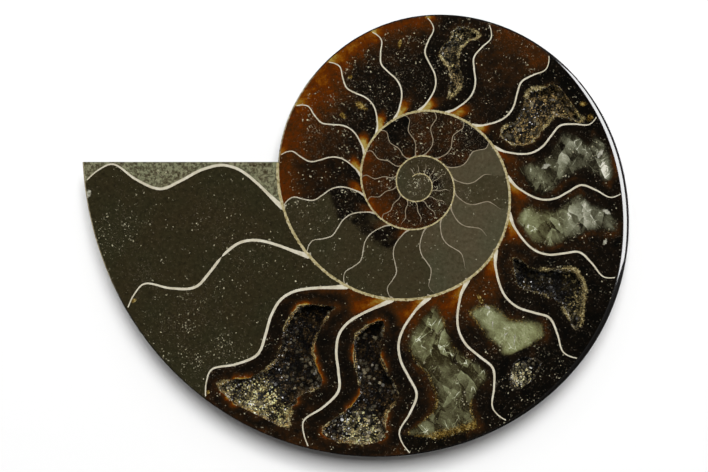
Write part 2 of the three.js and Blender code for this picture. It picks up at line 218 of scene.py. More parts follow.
# Pale calcite masses, by the angle of the septum before them: outline as in a hollow, greenness, milkiness
# and golden fringe at the inner and outer end, and how far crystal facets with painted shading and white
# veins show
PALE_MASSES = {
    -16: {
        "green": (0.3, 0.1), "milk": (0.5, 0.5), "facet": 1.0, "veins": 0.9, "fringe": (0.1, 0.0),
        "outline": [
            (0.13, 0.38, 0.5), (0.18, 0.27, 0.81), (0.3, 0.23, 0.84), (0.45, 0.22, 0.73), (0.58, 0.17, 0.75),
            (0.69, 0.2, 0.73), (0.76, 0.32, 0.74), (0.85, 0.2, 0.77), (0.89, 0.3, 0.7),
        ],
    },
    6.4: {
        "green": (0.75, 0.1), "milk": (0.57, 0.61), "facet": 1.1, "veins": 0.8, "fringe": (0.3, 0.0),
        "outline": [
            (0.09, 0.6, 0.78), (0.16, 0.3, 0.8), (0.28, 0.24, 0.83), (0.4, 0.23, 0.8), (0.5, 0.17, 0.77),
            (0.6, 0.16, 0.74), (0.66, 0.27, 0.62), (0.76, 0.23, 0.5), (0.82, 0.19, 0.44), (0.87, 0.3, 0.4),
        ],
    },
    51.6: {
        "green": (0.8, 1.0), "milk": (0.69, 0.65), "facet": 0.3, "veins": 0.5, "fringe": (0.6, 0.2),
        "outline": [
            (0.2, 0.55, 0.74), (0.24, 0.33, 0.68), (0.32, 0.24, 0.64), (0.41, 0.25, 0.67), (0.5, 0.18, 0.68),
            (0.6, 0.16, 0.71), (0.65, 0.21, 0.35),
        ],
    },
    74.1: {
        "green": (0.8, 0.6), "milk": (0.5, 0.38), "facet": 1.05, "veins": 1.0, "fringe": (0.7, 1.0),
        "outline": [
            (0.08, 0.52, 0.6), (0.13, 0.39, 0.74), (0.21, 0.25, 0.8), (0.31, 0.21, 0.82), (0.41, 0.17, 0.78),
            (0.5, 0.15, 0.74), (0.59, 0.12, 0.77), (0.66, 0.12, 0.74), (0.72, 0.27, 0.71), (0.81, 0.26, 0.81),
            (0.86, 0.23, 0.9), (0.91, 0.26, 0.7),
        ],
    },
}

# Small marks of the face: field, place, half length and half width, and tilt from +X towards +Y
MARKS = [
    ("gold", 1.2, 32.5, 2.0, 0.8, -32), ("gold", -3.3, 30.0, 1.0, 0.5, -50),
    ("gold", 10.9, 48.0, 1.2, 0.4, 80), ("gold", -1.5, 39.7, 0.5, 0.4, 0),
    ("gold", 56.7, 33.0, 0.9, 0.6, 0), ("gold", 58.4, 29.5, 1.0, 0.7, 60),
    ("gold", 31.0, -15.8, 1.5, 0.5, -60), ("cream", 32.8, -17.8, 1.2, 0.3, -40),
    ("cream", 62.6, 6.0, 1.3, 0.5, -30), ("cream", 61.0, 20.6, 1.6, 0.5, 60),
    ("cream", 47.4, 17.4, 1.4, 0.6, 25), ("cream", -66.9, 10.6, 1.3, 0.7, 75),
    ("gold", -55.8, -16.2, 0.9, 0.5, 20), ("gold", -37.2, -39.2, 0.8, 0.5, 30),
    ("cream", 62.2, -1.6, 1.0, 0.4, 60), ("cream", 34.1, -22.2, 1.5, 0.02, 88),
    ("cream", 39.6, -26.0, 2.4, 0.02, 83), ("cream", 37.4, -24.6, 1.2, 0.02, 40),
]

# Clusters of pale flecks: place, radius and how many more there are
CLUSTERS = [
    (15.4, 12.6, 1.9, 5.0), (26.9, 10.7, 1.4, 7.0), (-58.4, 0.7, 6, 1.8), (-52.8, -9.8, 3, 2.4),
    (-35.5, 2.7, 6, 1.2), (-27, -4.8, 5, 1.2), (-39.5, -17.3, 5, 1.6), (-47.3, -23, 5, 1.6),
    (-32.7, -29.3, 5, 1.6), (-39, -32.8, 4, 1.8), (-8, 30, 6, 1.2), (6, 40, 7, 0.8),
]

# Resolution of the visual model
COLUMNS = 432
FACE_SPACING, FACE_JITTER = 0.56, 0.16
MARK_SPACING, MARK_JITTER = 0.2, 0.2
MARK_REACH, MARK_GRID = 1.4, 1.5
ROW_PITCH = 0.866
CLEAR_SHARE = 0.55
SEPTUM_STEPS = 64
WALL_STEPS, WALL_STRETCH = 1600, 12
CUT_SPACING, CUT_JITTER, CUT_CLEAR = 0.9, 0.2, 0.5
CUT_ROUGHNESS = 0.22
APERTURE_EDGE_STEPS = 70
EDGE_GAP = 0.05
TINY = 1e-6
FAR = 99.0

rng = np.random.default_rng(7)


def curve_through(positions, values):
    """A smooth curve through points, whose slope at each is the mean of the slopes beside it."""
    x = np.asarray(positions, float)
    y = np.asarray(values, float)
    secants = np.diff(y) / np.diff(x)
    slopes = np.concatenate([secants[:1], (secants[:-1] + secants[1:]) / 2, secants[-1:]])

    def curve(at):
        at = np.clip(np.asarray(at, float), x[0], x[-1])
        i = np.clip(np.searchsorted(x, at, side="right") - 1, 0, len(x) - 2)
        width = x[i + 1] - x[i]
        s = (at - x[i]) / width
        start = (1 + 2 * s) * (1 - s) ** 2 * y[i] + s * (1 - s) ** 2 * width * slopes[i]
        end = s * s * (3 - 2 * s) * y[i + 1] + s * s * (s - 1) * width * slopes[i + 1]
        return start + end

    return curve


def rise(low, high, value):
    """How far a value has come from low to high, from 0 to 1."""
    return np.clip((value - low) / (high - low), 0, 1)


def smoothstep(low, high, value):
    s = rise(low, high, value)
    return s * s * (3 - 2 * s)


def bell(value, middle, width):
    """1 in the middle, and close to 0 from two widths away."""
    return np.exp(-((value - middle) / width) ** 2)


wall_log = curve_through(WALL_START + WALL_STEP * np.arange(len(WALL_RADII)), np.log(WALL_RADII))
rim_width = curve_through(*zip(*RIM_WIDTHS))
last_wave, late_wave, middle_wave, early_wave = (
    curve_through(WAVE_ACROSS, wave) for wave in (LAST_WAVE, LATE_WAVE, MIDDLE_WAVE, EARLY_WAVE)
)


def wall_radius(angle):
    return np.exp(wall_log(angle))


def plan_point(angle, radius):
    turn = np.radians(angle)
    return np.stack([COIL_X + radius * np.cos(turn), COIL_Y - radius * np.sin(turn)], -1)


def septum_angle(belly, across):
    last, late, early = (rise(*growth, belly) for growth in (LAST_GROWTH, LATE_GROWTH, EARLY_GROWTH))
    grown = last * last_wave(across) + (1 - last) * late_wave(across)
    return belly + late * grown + (1 - late - early) * middle_wave(across) + early * early_wave(across)


def radius_across(angle, across):
    inner = wall_radius(angle - 360)
    return inner + across * (wall_radius(angle) - inner)


WHORLS = 5
LEAST_WHORL = 0.1
CORE_SPAN, MOUTH_SPAN = 23, 22


def locate(x, y):
    """Growth angle of points of the face, and their share of the way across the whorl."""
    radius = np.hypot(x - COIL_X, y - COIL_Y)
    angle = np.degrees(np.arctan2(COIL_Y - y, x - COIL_X)) + 360
    for _ in range(WHORLS):
        angle = np.where(radius < wall_radius(angle - 360), angle - 360, angle)
    inner = wall_radius(angle - 360)
    return angle, (radius - inner) / np.maximum(wall_radius(angle) - inner, LEAST_WHORL)


def chamber_at(angle, across):
    """Chamber of points, 0 for the core, their share from its first septum to its second, and its width."""
    bounds = septum_angle(SEPTA[:, None], across[None, :])
    bounds = np.vstack([bounds[:1] - CORE_SPAN, bounds, bounds[-1:] + MOUTH_SPAN])
    chamber = np.clip((bounds <= angle).sum(0) - 1, 0, len(SEPTA))
    points = np.arange(len(angle))
    lower, upper = bounds[chamber, points], bounds[chamber + 1, points]
    width = np.radians(upper - lower) * radius_across(angle, across)
    return chamber, (angle - lower) / (upper - lower), width


# Outer surface

RIM_PROFILE = [
    (1, 0), (0.97, 0.005), (0.8, 0.037), (0.6, 0.088), (0.4, 0.146), (0.25, 0.198), (0.16, 0.239),
    (0.08, 0.303), (0.02, 0.412), (0, 0.55), (0, 1),
]
FLANK_STEPS = np.concatenate([[0.985], np.linspace(0.96, 0.06, 26), [0]])
KEEL_SHARES = (0.5, 1)
SHELL_ROWS = np.concatenate([np.ones(len(RIM_PROFILE) + len(KEEL_SHARES)), FLANK_STEPS, [-0.4, -0.9, -1]])
RIBS = 46
RIB_DEPTH = 0.3
RIB_SWEEP, RIB_BEND = 13, 0.35
FURROW_START, FURROW_END = (0.02, 0.3), (0.9, 0.98)
FURROW_ANGLES = (-178, -165), (165, 178)
SETTLING_ROUNDS = 6


def whorl_section(angle):
    """Radius and height of every row of the last whorl's section, for a growth angle per row and column."""
    outer = wall_radius(angle)
    rim = rim_width(angle)
    keel_top = THICKNESS - rim * RIM_DEPTH_RATIO
    keel_foot = keel_top - KEEL_HEIGHT
    level = START_LIFT * (1 - smoothstep(*START_ANGLES, angle))
    turned = rise(-180, 180, angle)
    umbilicus = UMBILICUS_RADII[0] + turned * (UMBILICUS_RADII[1] - UMBILICUS_RADII[0])
    shoulder = umbilicus + UMBILICUS_SHOULDER
    level_end = umbilicus + LEVEL_SHARE * (outer - umbilicus)
    rows = [(outer - inset * rim, THICKNESS - drop * (THICKNESS - keel_top)) for inset, drop in RIM_PROFILE]
    rows += [(outer, keel_top - share * KEEL_HEIGHT) for share in KEEL_SHARES]
    for step in FLANK_STEPS:
        climb = 1 - (1 - step * step) ** FLANK_EXPONENT
        rows.append((level_end + step * (outer - level_end), level + climb * (keel_foot - level)))
    rows.append(((level_end + shoulder) / 2, level))
    rows.append((shoulder, level))
    rows.append((umbilicus, level + UMBILICUS_LIP))
    radius = np.stack([row[0][i] for i, row in enumerate(rows)])
    height = np.stack([row[1][i] for i, row in enumerate(rows)])
    return radius, height


def growth_line(angle):
    """Growth angle at which the lip of the shell passed each point: it bends forward towards the venter."""
    return angle - RIB_SWEEP * (SHELL_ROWS[:, None] - RIB_BEND) ** 2


def furrow(angle):
    """Depth share of the furrows between the ribs, faint near the rim, the umbilicus and the aperture."""
    flank = smoothstep(*FURROW_START, SHELL_ROWS) * (1 - smoothstep(*FURROW_END, SHELL_ROWS))
    first, last = FURROW_ANGLES
    ends = smoothstep(*first, angle) * (1 - smoothstep(*last, angle))
    wave = 0.5 - 0.5 * np.cos(np.radians(RIBS * growth_line(angle)))
    return flank[:, None] * ends * wave


def sink_furrows(points, angle):
    """Points of the shell pushed in along its furrows, so the crests of the ribs keep the outline."""
    inward = np.cross(np.gradient(points, axis=0), np.gradient(points, axis=1))
    inward /= np.linalg.norm(inward, axis=2)[..., None]
    flank = (SHELL_ROWS > 0) & (SHELL_ROWS < FURROW_END[0])
    inward *= np.sign(inward[flank][..., 2].mean())
    return points + RIB_DEPTH * furrow(angle)[..., None] * inward


def shell_grid():
    """Points of the outer surface by row and column, and their growth angles."""
    shares = np.linspace(0, 1, COLUMNS + 1)
    base = np.tile(-180 + 360 * shares, (len(SHELL_ROWS), 1))
    angle = base.copy()
    for _ in range(SETTLING_ROUNDS):
        radius, height = whorl_section(angle)
        angle = base + np.degrees(np.arcsin(APERTURE_OFFSET / radius))
    return sink_furrows(np.dstack([plan_point(angle, radius), height]), angle), angle


def hub_ring(radius, height):
    lag = math.degrees(math.asin(APERTURE_OFFSET / HUB_RADIUS))
    angle = -180 + 360 * np.linspace(0, 1, COLUMNS + 1)[:-1] + lag
    plan = plan_point(angle, np.full(COLUMNS, radius))
    return np.column_stack([plan, np.full(COLUMNS, height)])


# Lines of the polished face

SEPTUM_GROWTH = [-760, -640, -440, -220, -160, -60, 0, 60, 140]
SEPTUM_WIDTHS = [0.15, 0.18, 0.21, 0.24, 0.32, 0.37, 0.46, 0.54, 0.66]
SEPTUM_ROOT = -0.01
SEPTUM_TAPER, LATE_TAPER, TAPER_ACROSS = 0.3, 0.25, (0.6, 0.98)
TAPER_GROWTH = (-120, 0)
ROOT_FLARE, ROOT_REACH = 1.2, 0.1
FREE_TAPER, FREE_ACROSS = 0.75, (0.7, 1)
NICKED_SEPTUM, NICK_ACROSS, NICK_REACH, NICK_DEPTH = 162.2, 0.407, 0.014, 0.97
LAST_WHORL = -176
WALL_GROWTH = [-1200, -900, -560, -520, -200]
WALL_WIDTHS = [0.2, 0.3, 0.36, 0.46, 0.62]
WALL_END = -170
WALL_BUMPS, INNER_BUMPS, WALL_SHARE = 0.55, 0.5, 0.9


def septum_width(belly, across):
    """Width of a septum's section: thin in early growth, tapering towards the venter, wide at its root."""
    width = np.interp(belly, SEPTUM_GROWTH, SEPTUM_WIDTHS)
    taper = SEPTUM_TAPER + LATE_TAPER * rise(*TAPER_GROWTH, belly)
    width = width * (1 - taper * smoothstep(*TAPER_ACROSS, across))
    width = width * (1 + ROOT_FLARE * (1 - rise(0, ROOT_REACH, across)) ** 2)
    if belly in FREE_ENDS:
        width = width * (1 - FREE_TAPER * smoothstep(*FREE_ACROSS, across / FREE_ENDS[belly]))
    if belly == NICKED_SEPTUM:
        width = width * (1 - NICK_DEPTH * bell(across, NICK_ACROSS, NICK_REACH))
    return width


def septum_strip(belly):
    """Both edges and the middle line of a septum on the face, from its root to its outer end."""
    across = np.linspace(SEPTUM_ROOT, FREE_ENDS.get(belly, 1), SEPTUM_STEPS)
    angle = septum_angle(belly, across)
    radius = radius_across(angle, across)
    keep = radius < wall_radius(angle) - np.where(angle > LAST_WHORL, rim_width(angle), 0) - EDGE_GAP
    middle = plan_point(angle, radius)[keep]
    along = np.gradient(middle, axis=0)
    along /= np.linalg.norm(along, axis=1)[:, None]
    normal = np.column_stack([along[:, 1], -along[:, 0]])
    half = septum_width(belly, across[keep])[:, None] / 2
    return middle - normal * half, middle, middle + normal * half


def wall_strip():
    """Both edges and the middle line of the coiled wall on the face, out to the aperture."""
    angle = np.linspace(WALL_GROWTH[0], WALL_END, WALL_STEPS)
    radius = wall_radius(angle)
    half = np.interp(angle, WALL_GROWTH, WALL_WIDTHS) / 2
    inner_bumps, outer_bumps = WALL_BUMPS * rng.random((2, len(angle))) * half
    inner = plan_point(angle, radius - half * WALL_SHARE - INNER_BUMPS * inner_bumps)
    middle = plan_point(angle, radius)
    outer = plan_point(angle, radius + half * WALL_SHARE + outer_bumps)
    ceiling = COIL_Y + APERTURE_OFFSET - EDGE_GAP
    inside = (angle < WALL_GROWTH[-1]) | (np.maximum(inner[:, 1], outer[:, 1]) < ceiling)
    return inner[inside], middle[inside], outer[inside]


def outline_sides(outline, across):
    """Start and end shares of an outline, at shares across the whorl."""
    stations = np.array(outline)
    return (curve_through(stations[:, 0], stations[:, side])(across) for side in (1, 2))


def hollow_point(hollow, along, beside, open_share, depth_share):
    """Points of a hollow along and beside its middle, at a share of its opening and of its depth."""
    first, last = hollow["outline"][0][0], hollow["outline"][-1][0]
    across = first + (last - first) * (0.5 + (along - 0.5) * (1 + open_share) / 2)
    start, end = outline_sides(hollow["outline"], across)
    share = (start + end) / 2 + beside * (end - start) / 2
    depth = np.interp(across, [first, last], hollow["depths"])
    angle = hollow["septa"][0] + share * (hollow["septa"][1] - hollow["septa"][0]) + late_wave(across)
    plan = plan_point(angle, radius_across(angle, across))
    return np.column_stack([plan, THICKNESS - depth * depth_share])


def hollow_rings(hollow):
    """Rings of points down the wall of a hollow. Each runs out along one side and back along the other."""
    along = np.linspace(0, 1, HOLLOW_STEPS + 1)
    wobble = HOLLOW_JITTER * rng.standard_normal((2, HOLLOW_STEPS + 1))
    rings = []
    for depth, opening in BOWL_RINGS:
        rough = HOLLOW_ROUGHNESS * depth * rng.standard_normal((2, HOLLOW_STEPS + 1))
        beside = opening * (1 + 2 * wobble * (1 - HOLLOW_CALMING * depth) + rough)
        reach = max(opening, BOWL_RINGS[FLOOR_START][1])
        left = hollow_point(hollow, along, -beside[0], reach, depth)
        right = hollow_point(hollow, along, beside[1], reach, depth)
        ring = np.vstack([left, right[::-1]])
        lumps = [noise.noise(Vector(point) * LUMP_SCALE) for point in ring]
        ring[:, 2] += FLOOR_LUMPS * smoothstep(*LUMP_DEPTHS, depth) * np.array(lumps)
        rings.append(ring)
    return rings


def inside_polygon(points, polygon):
    """Which points lie inside a closed polygon."""
    inside = np.zeros(len(points), bool)
    for (x0, y0), (x1, y1) in zip(polygon, np.roll(polygon, -1, axis=0)):
        if y0 == y1:
            continue
        crosses = (y0 > points[:, 1]) != (y1 > points[:, 1])
        at = x0 + (points[:, 1] - y0) * (x1 - x0) / (y1 - y0)
        inside ^= crosses & (points[:, 0] < at)
    return inside


def nearest_distance(points, targets):
    """Distance of every point to the nearest target, in the plan."""
    tree = KDTree(len(targets))
    for i, target in enumerate(targets):
        tree.insert((target[0], target[1], 0), i)
    tree.balance()
    return np.array([tree.find((p[0], p[1], 0))[2] for p in points])


def near_heap(points, heaps):
    """How far points lie within any of some round heaps: 1 in the middle, 0 outside."""
    inside = np.zeros(len(points))
    for x, y, radius in heaps:
        away = np.hypot(points[:, 0] - x, points[:, 1] - y) / radius
        inside = np.maximum(inside, 1 - smoothstep(*HEAP_EDGE, away))
    return inside


def mark_share(points, mark):
    """Distance of points from a mark's middle: 1 is on its ellipse."""
    _, x, y, length, width, tilt = mark
    turn = math.radians(tilt)
    across, up = points[:, 0] - x, points[:, 1] - y
    along = across * math.cos(turn) + up * math.sin(turn)
    beside = up * math.cos(turn) - across * math.sin(turn)
    return np.hypot(along / (length + MARK_SPACING), beside / (width + MARK_SPACING))


def near_mark(points):
    return np.any([mark_share(points, mark) < MARK_REACH for mark in MARKS], axis=0)


def mark_points():
    """A close grid of points over every mark."""
    grids = []
    for mark in MARKS:
        _, middle_x, middle_y, length, _, _ = mark
        reach = MARK_GRID * length
        steps = np.arange(-reach, reach, MARK_SPACING)
        x, y = np.meshgrid(middle_x + steps, middle_y + steps)
        points = np.column_stack([x.ravel(), y.ravel()])
        points += MARK_SPACING * MARK_JITTER * rng.standard_normal(points.shape)
        grids.append(points[mark_share(points, mark) < MARK_REACH])
    return np.vstack(grids)


class FacePlan:
    """Polygons and lines of the polished face, gathered for one triangulation."""

    def __init__(self):
        self.points, self.edges = [], []
        self.regions = {"outline": [], "hollow": [], "septum": [], "wall": []}
        self.count = 0

    def add(self, points):
        self.points.append(np.asarray(points))
        self.count += len(points)
        return list(range(self.count - len(points), self.count))

    def loop(self, points, kind):
        ring = self.add(points)
        self.edges += list(zip(ring, ring[1:] + ring[:1]))
        self.regions[kind].append(np.asarray(points))

    def strip(self, lines, kind, stretch):
        """A band between two edges with a middle line, whose region is kept in lengths of a few steps."""
        for line in lines:
            run = self.add(line)
            self.edges += list(zip(run[:-1], run[1:]))
        left, _, right = lines
        for start in range(0, len(left) - 1, stretch):
            end = start + stretch + 1
            self.regions[kind].append(np.vstack([left[start:end], right[start:end][::-1]]))

    def covered(self, points, kind):
        """Which points lie in a region of a kind."""
        covered = np.zeros(len(points), bool)
        for polygon in self.regions[kind]:
            near = np.all((points >= polygon.min(0)) & (points <= polygon.max(0)), axis=1)
            covered[near] |= inside_polygon(points[near], polygon)
        return covered

    def fill(self):
        """Evenly spread points inside the outline and clear of the lines."""
        outline = self.regions["outline"][0]
        low, high = outline.min(0), outline.max(0)
        rows = np.arange(low[1], high[1], FACE_SPACING * ROW_PITCH)
        columns = np.arange(low[0], high[0], FACE_SPACING)
        x, y = np.meshgrid(columns, rows)
        x[1::2] += FACE_SPACING / 2
        points = np.column_stack([x.ravel(), y.ravel()])
        points += FACE_SPACING * FACE_JITTER * rng.standard_normal(points.shape)
        points = np.vstack([points[~near_mark(points)], mark_points()])
        points = points[self.covered(points, "outline") & ~self.covered(points, "hollow")]
        gap = np.where(near_mark(points), MARK_SPACING, FACE_SPACING) * CLEAR_SHARE
        clear = nearest_distance(points, np.vstack(self.points)) > gap
        self.add(points[clear])

    def triangulate(self):
        """Points, triangles inside the outline by kind, and the input points behind each point."""
        self.fill()
        points = [Vector(p) for p in np.vstack(self.points)]
        corners, _, faces, sources, _, _ = delaunay_2d_cdt(points, self.edges, [], 0, TINY, True)
        plan = np.array([tuple(corner) for corner in corners])
        triangles = np.array(faces)
        middles = plan[triangles].mean(1)
        inside = self.covered(middles, "outline") & ~self.covered(middles, "hollow")
        wall = inside & self.covered(middles, "wall")
        septum = inside & ~wall & self.covered(middles, "septum")
        rest = inside & ~wall & ~septum
        kinds = {"wall": triangles[wall], "septum": triangles[septum], "face": triangles[rest]}
        return plan, kinds, sources


# Colour fields of the face. Patches have a scale and the low and high noise between which they fade

PATCH_LAYER = 0.37


def patchy(points, scale, low, high):
    """Smooth patches between 0 and 1 over points of the face, about 1/scale millimetres wide."""
    value = np.array([noise.noise((x * scale, y * scale, PATCH_LAYER)) for x, y in points])
    return smoothstep(low, high, value)


GROWTH_SPAN = (-900, 190)
MATRIX_ACROSS = (0.25, 0.5)
MATRIX_SHOWN, MATRIX_DIMMING = (0.4, 0.9), 0.75
ROOT_ACROSS, ROOT_BETWEEN = 0.2, 0.6
TIP_ACROSS, TIP_BETWEEN = (0.86, 1), 0.28
SPECK_GLOW, SPECK_DIMMING = (0.4, 0.62), 0.85
INNER_SPECKS, INNER_GROWTH = 0.5, (-300, -220)
MARK_EDGE = (0.15, 1.3)


def chamber_fields(plan):
    """Weights of the minerals at points of the face, before hollows are taken into account."""
    angle, across = locate(plan[:, 0], plan[:, 1])
    chamber, between, width = chamber_at(angle, across)
    looks = CHAMBER_LOOKS[chamber]
    stop = np.clip(np.searchsorted(GLOW_ACROSS, across) - 1, 0, len(GLOW_ACROSS) - 2)
    rows = np.arange(len(across))
    blend = smoothstep(GLOW_ACROSS[stop], GLOW_ACROSS[stop + 1], across)
    glow = looks[rows, stop] * (1 - blend) + looks[rows, stop + 1] * blend
    inner, outer, light, speck = looks[:, len(GLOW_ACROSS):].T
    matrix = inner + (outer - inner) * smoothstep(*MATRIX_ACROSS, across)
    glow = with_root_glow(glow, matrix, angle, across, between)
    speck = speck * (1 - SPECK_DIMMING * smoothstep(*SPECK_GLOW, glow))
    speck = speck * (1 + INNER_SPECKS * (1 - smoothstep(*INNER_GROWTH, angle)))
    for x, y, radius, amount in CLUSTERS:
        speck = speck + amount * bell(np.hypot(plan[:, 0] - x, plan[:, 1] - y), 0, radius)
    growth = rise(*GROWTH_SPAN, angle)
    fields = {"glow": glow, "matrix": matrix, "light": light, "speck": speck, "growth": growth}
    add_pale_masses(fields, plan, chamber, across, between, width, angle)
    for kind in ("gold", "cream"):
        marks = [1 - smoothstep(*MARK_EDGE, mark_share(plan, mark)) for mark in MARKS if mark[0] == kind]
        fields[kind] = np.maximum(fields[kind], np.max(marks, axis=0))
    return fields


ROOT_GLOW, ROOT_GROWTH = 0.75, (-560, -480)
HONEY_GROWTH, HONEY_FULL = (-190, -175), 0.9
ROOT_HONEY, ROOT_FADING, FADING_GROWTH = 1.7, 0.5, (-70, -30)
TIP_HONEY, TIP_GROWTH = 0.9, (-90, -60)


def with_root_glow(glow, matrix, angle, across, between):
    """Glow with the honey-coloured fillets behind the root of each septum, and at the tips of some."""
    clear = 1 - MATRIX_DIMMING * smoothstep(*MATRIX_SHOWN, matrix)
    root = (1 - rise(0, ROOT_ACROSS, across)) * (1 - rise(0, ROOT_BETWEEN, between))
    glow = np.maximum(glow, ROOT_GLOW * smoothstep(*ROOT_GROWTH, angle) * clear * np.sqrt(root))
    early = 1 - ROOT_FADING * smoothstep(*FADING_GROWTH, angle)
    tip = smoothstep(*TIP_ACROSS, across) * (1 - rise(0, TIP_BETWEEN, between))
    tip = tip * (1 - smoothstep(*TIP_GROWTH, angle))
    last = smoothstep(*HONEY_GROWTH, angle) * clear
    honey = np.clip(last * np.maximum(ROOT_HONEY * root * early, TIP_HONEY * tip), 0, 1)
    return glow + (1 - glow) * smoothstep(0, HONEY_FULL, honey)


PALE_EDGE = (-2.0, 1.9)
PALE_OUTWARD = (0.25, 0.65)
GREEN_SMOOTHING = 0.45
PALE_PATCHES, LEAST_PATCH = (0.2, -0.3, 0.3), 0.3
FRINGE_BAND, END_BAND, HALO_BAND = (-0.1, 0.5), (-0.4, 1.3), (-1.2, 1.6)
END_SIDES, END_PATCHES = -0.6, 0.45
HALO_GLOW = 0.4


def add_pale_masses(fields, plan, chamber, across, between, width, angle):
    """Weights of the pale calcite masses, with a golden fringe and a faint glow round each."""
    for name in ("pale", "green", "milk", "facet", "veins", "gold", "cream"):
        fields[name] = np.zeros(len(chamber))
    height = wall_radius(angle) - wall_radius(angle - 360)
    patches = LEAST_PATCH + (1 - LEAST_PATCH) * patchy(plan, *PALE_PATCHES)
    outward = smoothstep(*PALE_OUTWARD, across)
    for belly, mass in PALE_MASSES.items():
        mine = chamber == int(np.argmin(np.abs(SEPTA - belly))) + 1
        start, end = outline_sides(mass["outline"], across)
        sides = np.minimum(between - start, end - between) * width
        past_end = (across - mass["outline"][-1][0]) * height
        ends = np.minimum((across - mass["outline"][0][0]) * height, -past_end)
        depth = np.where(mine, np.minimum(sides, ends), -FAR)
        fields["pale"] = np.maximum(fields["pale"], smoothstep(*PALE_EDGE, depth))
        for name in ("green", "milk"):
            inner, outer = mass[name]
            fields[name] = np.where(mine, inner + (outer - inner) * outward, fields[name])
        smooth = 1 - GREEN_SMOOTHING * fields["green"]
        fields["facet"] = np.where(mine, mass["facet"] * smooth, fields["facet"])
        fields["veins"] = np.where(mine, mass["veins"], fields["veins"])
        inner, outer = mass["fringe"]
        side = inner * patches * bell(depth, *FRINGE_BAND)
        past_end = np.where(mine & (sides > END_SIDES), past_end, FAR)
        end_band = outer * (1 - END_PATCHES + END_PATCHES * patches) * bell(past_end, *END_BAND)
        fields["gold"] = np.maximum(fields["gold"], np.maximum(side, end_band))
        fields["glow"] = np.maximum(fields["glow"], HALO_GLOW * patches * bell(depth, *HALO_BAND))


RIM_REACH = 6
RIM_PATCHES, RIM_TUFTS = (0.15, -0.1, 0.4), (0.3, -0.15, 0.4)
DARK_SHARE, DARK_BAND = 0.5, (2.2, 1.4)
AMBER_SHARE, AMBER_WIDTH, AMBER_PATCHES, LEAST_AMBER = 0.78, 0.6, 1.1, 0.2
AMBER_LINE, LINE_WIDTH = 0.5, 0.45
LEAST_CRUMBS, CRUMB_WIDTH, TUFT_WIDTH, HEAP_WIDTH = 0.02, 0.26, 0.8, 0.5
CRUMB_TUFTS, CRUMB_SHOWN, FULL_CRUMB = (0.15, 0.7), 0.5, 0.3


def add_hollow_rims(fields, plan, loops):
    """Weights of the crumbs, the amber edge and the dark band round each hollow."""
    fields["crumb"] = np.zeros(len(plan))
    patches = patchy(plan, *RIM_PATCHES)
    tufts = patchy(plan, *RIM_TUFTS)
    for loop, (name, hollow) in zip(loops, HOLLOWS.items()):
        near = np.all((plan > loop.min(0) - RIM_REACH) & (plan < loop.max(0) + RIM_REACH), axis=1)
        dense = np.vstack([loop, (loop + np.roll(loop, -1, axis=0)) / 2])
        distance = np.full(len(plan), FAR)
        distance[near] = nearest_distance(plan[near], dense)
        dark = 1 - DARK_SHARE * bell(distance, *DARK_BAND)
        edge = AMBER_SHARE * bell(distance, 0, AMBER_WIDTH + AMBER_PATCHES * patches)
        edge = edge + AMBER_LINE * bell(distance, 0, LINE_WIDTH)
        rim = hollow["amber"] * (LEAST_AMBER + (1 - LEAST_AMBER) * patches) * edge
        fields["glow"] = np.maximum(fields["glow"] * dark, rim)
        thick = near_heap(plan, CRUSTS[name]["heaps"])
        width = LEAST_CRUMBS + hollow["crumb"] * (CRUMB_WIDTH + TUFT_WIDTH * tufts + HEAP_WIDTH * thick)
        shown = CRUMB_SHOWN + (1 - CRUMB_SHOWN) * smoothstep(*CRUMB_TUFTS, tufts)
        shown = np.maximum(shown, thick) * min(1, hollow["crumb"] / FULL_CRUMB)
        fields["crumb"] = np.maximum(fields["crumb"], shown * bell(distance, 0, width))


# Body mesh

MATERIAL_ORDER = ("face", "septum", "wall", "shell", "cut", "bowl")


class Body:
    """Vertices and polygons of the stone, with a material for each polygon."""

    def __init__(self):
        self.vertices, self.polygons, self.materials = [], [], []
        self.count = 0

    def add(self, points):
        self.vertices.append(np.asarray(points, float))
        self.count += len(points)
        return np.arange(self.count - len(points), self.count)

    def face(self, polygons, material):
        self.polygons += [tuple(int(i) for i in p) for p in polygons]
        self.materials += [MATERIAL_ORDER.index(material)] * len(polygons)

    def band(self, upper, lower, material, closed=False):
        if closed:
            upper, lower = np.append(upper, upper[0]), np.append(lower, lower[0])
        self.face(zip_quads(upper, lower), material)


def zip_quads(upper, lower):
    return list(zip(upper[:-1], upper[1:], lower[1:], lower[:-1]))


def add_shell(body):
    """Outer surface with the umbilicus. Gives its points, growth angles, vertex rows and hub rings."""
    grid, angle = shell_grid()
    rows = [body.add(points) for points in grid]
    for upper, lower in zip(rows[:-1], rows[1:]):
        body.band(upper, lower, "shell")
    rings = [body.add(hub_ring(HUB_RADIUS, HUB_HEIGHT))]
    rings += [body.add(hub_ring(*ring)) for ring in HUB_RINGS]
    body.band(rows[-1], np.append(rings[0], rings[0][0]), "shell")
    for upper, lower in zip(rings[:-1], rings[1:]):
        body.band(upper, lower, "shell", closed=True)
    last = np.append(rings[-1], rings[-1][0])
    rings.append(body.add([[COIL_X, COIL_Y, HUB_TOP]]))
    body.face([(a, b, rings[-1][0]) for a, b in zip(last[:-1], last[1:])], "shell")
    return grid, angle, rows, rings


